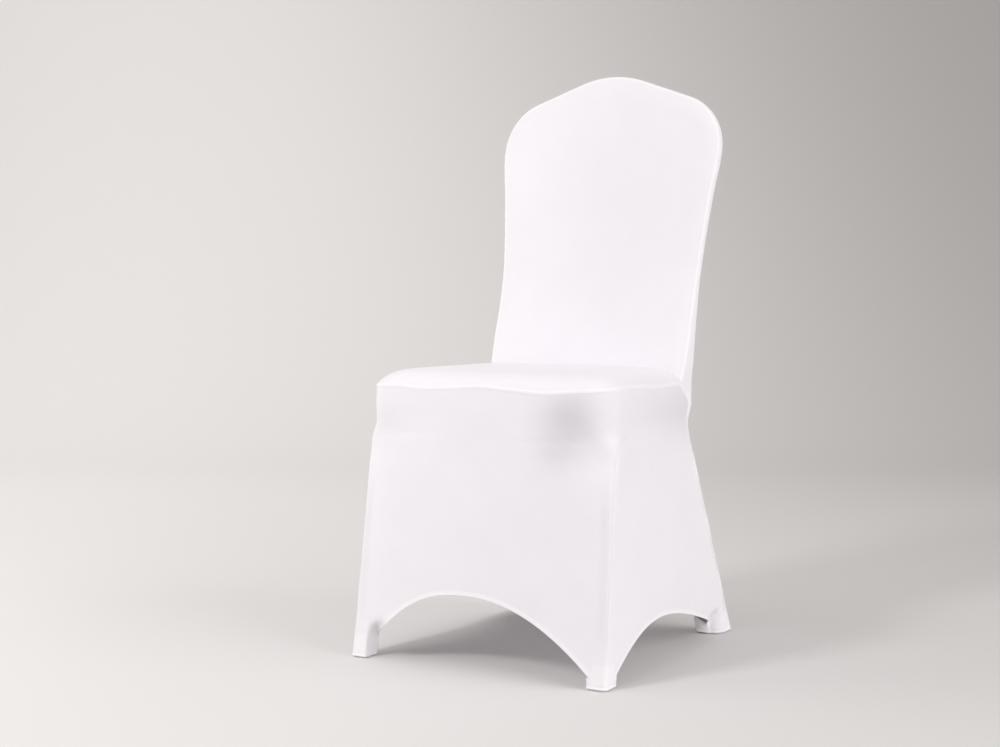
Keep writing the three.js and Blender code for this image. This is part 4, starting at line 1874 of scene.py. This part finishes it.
@dataclass(frozen=True)
class FineKnit:
    """Shader group of a fine knit: columns of loops along the cloth's own lengths, a soft uneven tone,
    painted shade, and doubled cloth painted lighter as a highlight.
    """

    column_share: float = 0.6
    tone_scale: float = 9.0
    tone_detail: float = 6.0
    tone_roughness: float = 0.65
    tone_low: float = 0.35
    tone_high: float = 0.75

    def build(self) -> bpy.types.NodeTree:
        """Makes the group.

        Returns:
            The group, with outputs Colour and Height.
        """
        tree = bpy.data.node_groups.new("fine_knit", "ShaderNodeTree")
        for name in ("Colour", "Shade", "Thick and highlight", "Painted shade"):
            tree.interface.new_socket(name, in_out="INPUT", socket_type="NodeSocketColor")
        tree.interface.new_socket("Wales per metre", in_out="INPUT", socket_type="NodeSocketFloat")
        tree.interface.new_socket("Colour", in_out="OUTPUT", socket_type="NodeSocketColor")
        tree.interface.new_socket("Height", in_out="OUTPUT", socket_type="NodeSocketFloat")
        given, out = tree.nodes.new("NodeGroupInput"), tree.nodes.new("NodeGroupOutput")
        tree.links.new(self.loops(tree, given), out.inputs["Height"])
        tree.links.new(self.tint(tree, given), out.inputs["Colour"])
        return tree

    def loops(self, tree: bpy.types.NodeTree, given: bpy.types.Node) -> bpy.types.NodeSocket:
        """Adds the loops: a ridge for each column, crossed by rows.

        Args:
            tree: The group's nodes.
            given: The group's inputs.

        Returns:
            The loops' height.
        """
        place = tree.nodes.new("ShaderNodeUVMap")
        place.uv_map = "flat_cloth"
        scaled = tree.nodes.new("ShaderNodeVectorMath")
        scaled.operation = "SCALE"
        split = tree.nodes.new("ShaderNodeSeparateXYZ")
        tree.links.new(place.outputs["UV"], scaled.inputs[0])
        tree.links.new(given.outputs["Wales per metre"], scaled.inputs["Scale"])
        tree.links.new(scaled.outputs["Vector"], split.inputs["Vector"])
        across = add_maths(tree, "SINE", add_maths(tree, "MULTIPLY", split.outputs["X"], 2 * math.pi))
        ridge = add_maths(tree, "ABSOLUTE", across)
        tilted = add_maths(tree, "ADD", split.outputs["Y"], ridge)
        rows = add_maths(tree, "SINE", add_maths(tree, "MULTIPLY", tilted, 2 * math.pi))
        ridge_height = add_maths(tree, "MULTIPLY", ridge, self.column_share)
        row_height = add_maths(tree, "MULTIPLY", rows, 1 - self.column_share)
        return add_maths(tree, "ADD", ridge_height, row_height)

    def tint(self, tree: bpy.types.NodeTree, given: bpy.types.Node) -> bpy.types.NodeSocket:
        """Adds the colour: an uneven tone, then the painted shade, then the doubled cloth, painted lighter as
        a highlight.

        Args:
            tree: The group's nodes.
            given: The group's inputs.

        Returns:
            The colour.
        """
        place = tree.nodes.new("ShaderNodeTexCoord")
        tone = tree.nodes.new("ShaderNodeTexNoise")
        tone.inputs["Scale"].default_value = self.tone_scale
        tone.inputs["Detail"].default_value = self.tone_detail
        tone.inputs["Roughness"].default_value = self.tone_roughness
        fade = tree.nodes.new("ShaderNodeMapRange")
        fade.inputs["From Min"].default_value = self.tone_low
        fade.inputs["From Max"].default_value = self.tone_high
        tree.links.new(place.outputs["Object"], tone.inputs["Vector"])
        tree.links.new(tone.outputs["Fac"], fade.inputs["Value"])
        colour = add_blend(tree, fade.outputs["Result"], given.outputs["Colour"], given.outputs["Shade"])
        # Painted shade, then the doubled cloth painted lighter as a highlight
        for key, socket in (("painted_shade", "Painted shade"), ("layers", "Thick and highlight")):
            mask = tree.nodes.new("ShaderNodeAttribute")
            mask.attribute_name = key
            colour = add_blend(tree, mask.outputs["Fac"], colour, given.outputs[socket])
        return colour


@dataclass(frozen=True)
class KnitFinish:
    """A white stretch knit: its colours, among them a painted shade and a painted highlight, its gloss, and
    the size and depth of its loops.
    """

    name: str
    colour: Colour
    shade: Colour
    # Doubled cloth, painted lighter: its own thickness, and a painted highlight along seams, hems and soles
    thick_and_highlight: Colour = (0.91, 0.886, 0.918)
    # Painted shade in the creases and soft patches
    painted_shade: Colour = (0.6, 0.575, 0.618)
    roughness: float = 0.72
    sheen: float = 0.25
    sheen_roughness: float = 0.4
    specular: float = 0.3
    wales_per_metre: float = 1400.0
    relief: float = 0.35
    depth: float = 0.00012

    def build(self, knit: bpy.types.NodeTree) -> bpy.types.Material:
        """Makes the material.

        Args:
            knit: The shared knit group.

        Returns:
            The material.
        """
        settings = {
            "Roughness": self.roughness,
            "Sheen Weight": self.sheen,
            "Sheen Roughness": self.sheen_roughness,
            "Specular IOR Level": self.specular,
        }
        material, shader = new_material(self.name, settings)
        group = material.node_tree.nodes.new("ShaderNodeGroup")
        group.node_tree = knit
        colours = {"Colour": self.colour, "Shade": self.shade, "Thick and highlight": self.thick_and_highlight, "Painted shade": self.painted_shade}
        for socket, colour in colours.items():
            group.inputs[socket].default_value = (*colour, 1)
        group.inputs["Wales per metre"].default_value = self.wales_per_metre
        material.node_tree.links.new(group.outputs["Colour"], shader.inputs["Base Color"])
        add_bump(shader, group.outputs["Height"], self.relief, self.depth)
        return material


@dataclass(frozen=True)
class ThreadFinish:
    """White sewing thread: its colour, its gloss and its fine twist."""

    name: str = "white_thread"
    colour: Colour = (0.92, 0.9, 0.92)
    roughness: float = 0.5
    sheen: float = 0.2
    twist_scale: float = 900.0
    twist_wander: float = 0.5
    relief: float = 0.4
    depth: float = 0.0001

    def build(self) -> bpy.types.Material:
        """Makes the material.

        Returns:
            The material.
        """
        material, shader = new_material(self.name, {"Roughness": self.roughness, "Sheen Weight": self.sheen})
        shader.inputs["Base Color"].default_value = (*self.colour, 1)
        tree = material.node_tree
        place = tree.nodes.new("ShaderNodeTexCoord")
        twist = tree.nodes.new("ShaderNodeTexWave")
        twist.inputs["Scale"].default_value = self.twist_scale
        twist.inputs["Distortion"].default_value = self.twist_wander
        tree.links.new(place.outputs["Object"], twist.inputs["Vector"])
        add_bump(shader, twist.outputs["Fac"], self.relief, self.depth)
        return material


FINISHES = {
    Slot.STRETCH: KnitFinish("white_stretch_knit", colour=(0.865, 0.838, 0.872), shade=(0.84, 0.812, 0.848)),
    Slot.DOUBLED: KnitFinish("white_doubled_knit", colour=(0.9, 0.87, 0.9), shade=(0.88, 0.85, 0.885)),
}


class Lamp(NamedTuple):
    """A soft square light, placed as seen from the camera: to the right, away from it, and up."""

    name: str
    place: tuple[float, float, float]
    target: tuple[float, float, float]
    size: float
    power: float


LAMPS = (
    Lamp("key", (-2.0, -1.6, 2.3), (0, 0, 0.45), 0.6, 31.0),
    Lamp("fill", (2.7, -1.9, 1.4), (0.2, 0, 0.45), 3.0, 64.0),
    Lamp("wall_glow", (-2.0, 1.5, 2.6), (-1.2, 4.9, 0.7), 1.2, 42.0),
    Lamp("floor_glow", (-1.9, 0.0, 1.1), (-1.1, 0.0, 0), 1.4, 9.0),
    Lamp("through_cloth", (0.0, 0.0, 0.36), (0, 0, 0), 0.26, 0.14),
)


@dataclass
class Studio:
    """Pale sweep, soft lights and the camera."""

    camera_place: tuple[float, float, float] = (1.3224, -2.3704, 0.6011)
    azimuth: float = math.radians(30.94)
    elevation: float = math.radians(3.335)
    lens: float = 60.3
    sensor: float = 36.0
    floor_reach: float = 9.0
    wall_at: float = 5.0
    wall_height: float = 6.0
    sweep_radius: float = 2.5
    sweep_steps: int = 23
    # The paper's colour, and its colour in the painted shade towards the far right and up
    paper_near: Colour = (0.74, 0.718, 0.708)
    paper_painted_shade: Colour = (0.49, 0.473, 0.465)
    paper_roughness: float = 0.9
    fade_start: float = -0.6
    fade_end: float = 3.2
    fade_up: float = 0.45
    room: Colour = (1.0, 0.985, 0.975)
    room_strength: float = 0.6

    def build(self) -> None:
        """Makes the sweep, the lights, the world and the camera."""
        self.sweep()
        for lamp in LAMPS:
            self.light(lamp)
        world = bpy.data.worlds.new("soft_room")
        world.use_nodes = True
        background = world.node_tree.nodes["Background"]
        background.inputs["Color"].default_value = (*self.room, 1)
        background.inputs["Strength"].default_value = self.room_strength
        bpy.context.scene.world = world
        bpy.context.scene.view_settings.view_transform = "Standard"
        self.camera()

    def sweep(self) -> None:
        """Makes the floor, which curves up into a wall behind the object."""
        start, radius, reach = self.wall_at - self.sweep_radius, self.sweep_radius, self.floor_reach
        turn = np.linspace(0, math.pi / 2, self.sweep_steps + 1)[1:]
        profile = [(-reach, 0.0), (0.0, 0.0), (start, 0.0)]
        profile += [(start + radius * math.sin(a), radius * (1 - math.cos(a))) for a in turn]
        profile.append((self.wall_at, self.wall_height))
        points = np.array([(x, y, z) for y, z in profile for x in (-reach, reach)]) * METRE
        sine, cosine = math.sin(self.azimuth), math.cos(self.azimuth)
        points[:, :2] = points[:, :2] @ np.array([[cosine, sine], [-sine, cosine]])
        rows = np.arange(len(profile) - 1)
        faces = np.stack([2 * rows, 2 * rows + 1, 2 * rows + 3, 2 * rows + 2], axis=1)
        floor = make_mesh("floor", points, faces)
        floor.data.materials.append(self.paper())

    def paper(self) -> bpy.types.Material:
        """Makes the pale paper, with painted shade that darkens it softly towards the far right and upwards.

        Returns:
            The material.
        """
        material, shader = new_material("pale_paper", {"Roughness": self.paper_roughness})
        tree = material.node_tree
        place = tree.nodes.new("ShaderNodeTexCoord")
        along = tree.nodes.new("ShaderNodeVectorMath")
        along.operation = "DOT_PRODUCT"
        along.inputs[1].default_value = (math.cos(self.azimuth), math.sin(self.azimuth), self.fade_up)
        fade = tree.nodes.new("ShaderNodeMapRange")
        fade.interpolation_type = "SMOOTHSTEP"
        fade.inputs["From Min"].default_value = self.fade_start
        fade.inputs["From Max"].default_value = self.fade_end
        blend = tree.nodes.new("ShaderNodeMix")
        blend.data_type = "RGBA"
        blend.inputs["A"].default_value = (*self.paper_near, 1)
        blend.inputs["B"].default_value = (*self.paper_painted_shade, 1)
        tree.links.new(place.outputs["Object"], along.inputs[0])
        tree.links.new(along.outputs["Value"], fade.inputs["Value"])
        tree.links.new(fade.outputs["Result"], blend.inputs["Factor"])
        tree.links.new(blend.outputs["Result"], shader.inputs["Base Color"])
        return material

    def light(self, lamp: Lamp) -> None:
        """Adds a light.

        Args:
            lamp: The light.
        """
        data = bpy.data.lights.new(lamp.name, "AREA")
        data.size = lamp.size
        data.energy = lamp.power
        light = bpy.data.objects.new(lamp.name, data)
        turned = Matrix.Rotation(self.azimuth, 3, "Z")
        start, end = turned @ Vector(lamp.place), turned @ Vector(lamp.target)
        light.location = start
        light.rotation_euler = (end - start).to_track_quat("-Z", "Y").to_euler()
        bpy.context.scene.collection.objects.link(light)

    def camera(self) -> None:
        """Adds the camera at the photograph's place and angle."""
        data = bpy.data.cameras.new("camera")
        data.lens, data.sensor_width = self.lens, self.sensor
        camera = bpy.data.objects.new("camera", data)
        level = math.cos(self.elevation)
        across, along = -math.sin(self.azimuth) * level, math.cos(self.azimuth) * level
        ahead = Vector((across, along, -math.sin(self.elevation)))
        camera.location = self.camera_place
        camera.rotation_euler = ahead.to_track_quat("-Z", "Y").to_euler()
        bpy.context.scene.collection.objects.link(camera)
        bpy.context.scene.camera = camera


def main() -> None:
    """Builds the studio and the cover."""
    logging.basicConfig(level=logging.INFO, format="%(message)s")
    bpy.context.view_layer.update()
    Studio().build()
    knit = FineKnit().build()
    finishes = {slot: finish.build(knit) for slot, finish in FINISHES.items()}
    thread = ThreadFinish().build()
    sewing = sewing_tree()
    skirt, cover = SkirtCover(), BackCover()
    pocket = FootPocket(skirt, cover)
    pieces = [cover.inside(), cover.outside(), SeatCover(skirt, cover).build(), skirt.build()]
    pieces += [pocket.build(front, side) for front in (True, False) for side in (-1, 1)]
    for piece in pieces:
        piece.sort_rim([other for other in pieces if other is not piece])
    for piece in pieces:
        piece.sew()
        stitches = []
        if len(piece.hem_points):
            stitches = [StitchRows(f"{piece.name}_stitches", piece.hem_rows()).build(sewing, thread)]
        piece.declare(finishes[piece.slot], stitches)
        LOG.info("%s: %d faces", piece.name, len(piece.piece.data.polygons))


if __name__ == "__main__":
    main()
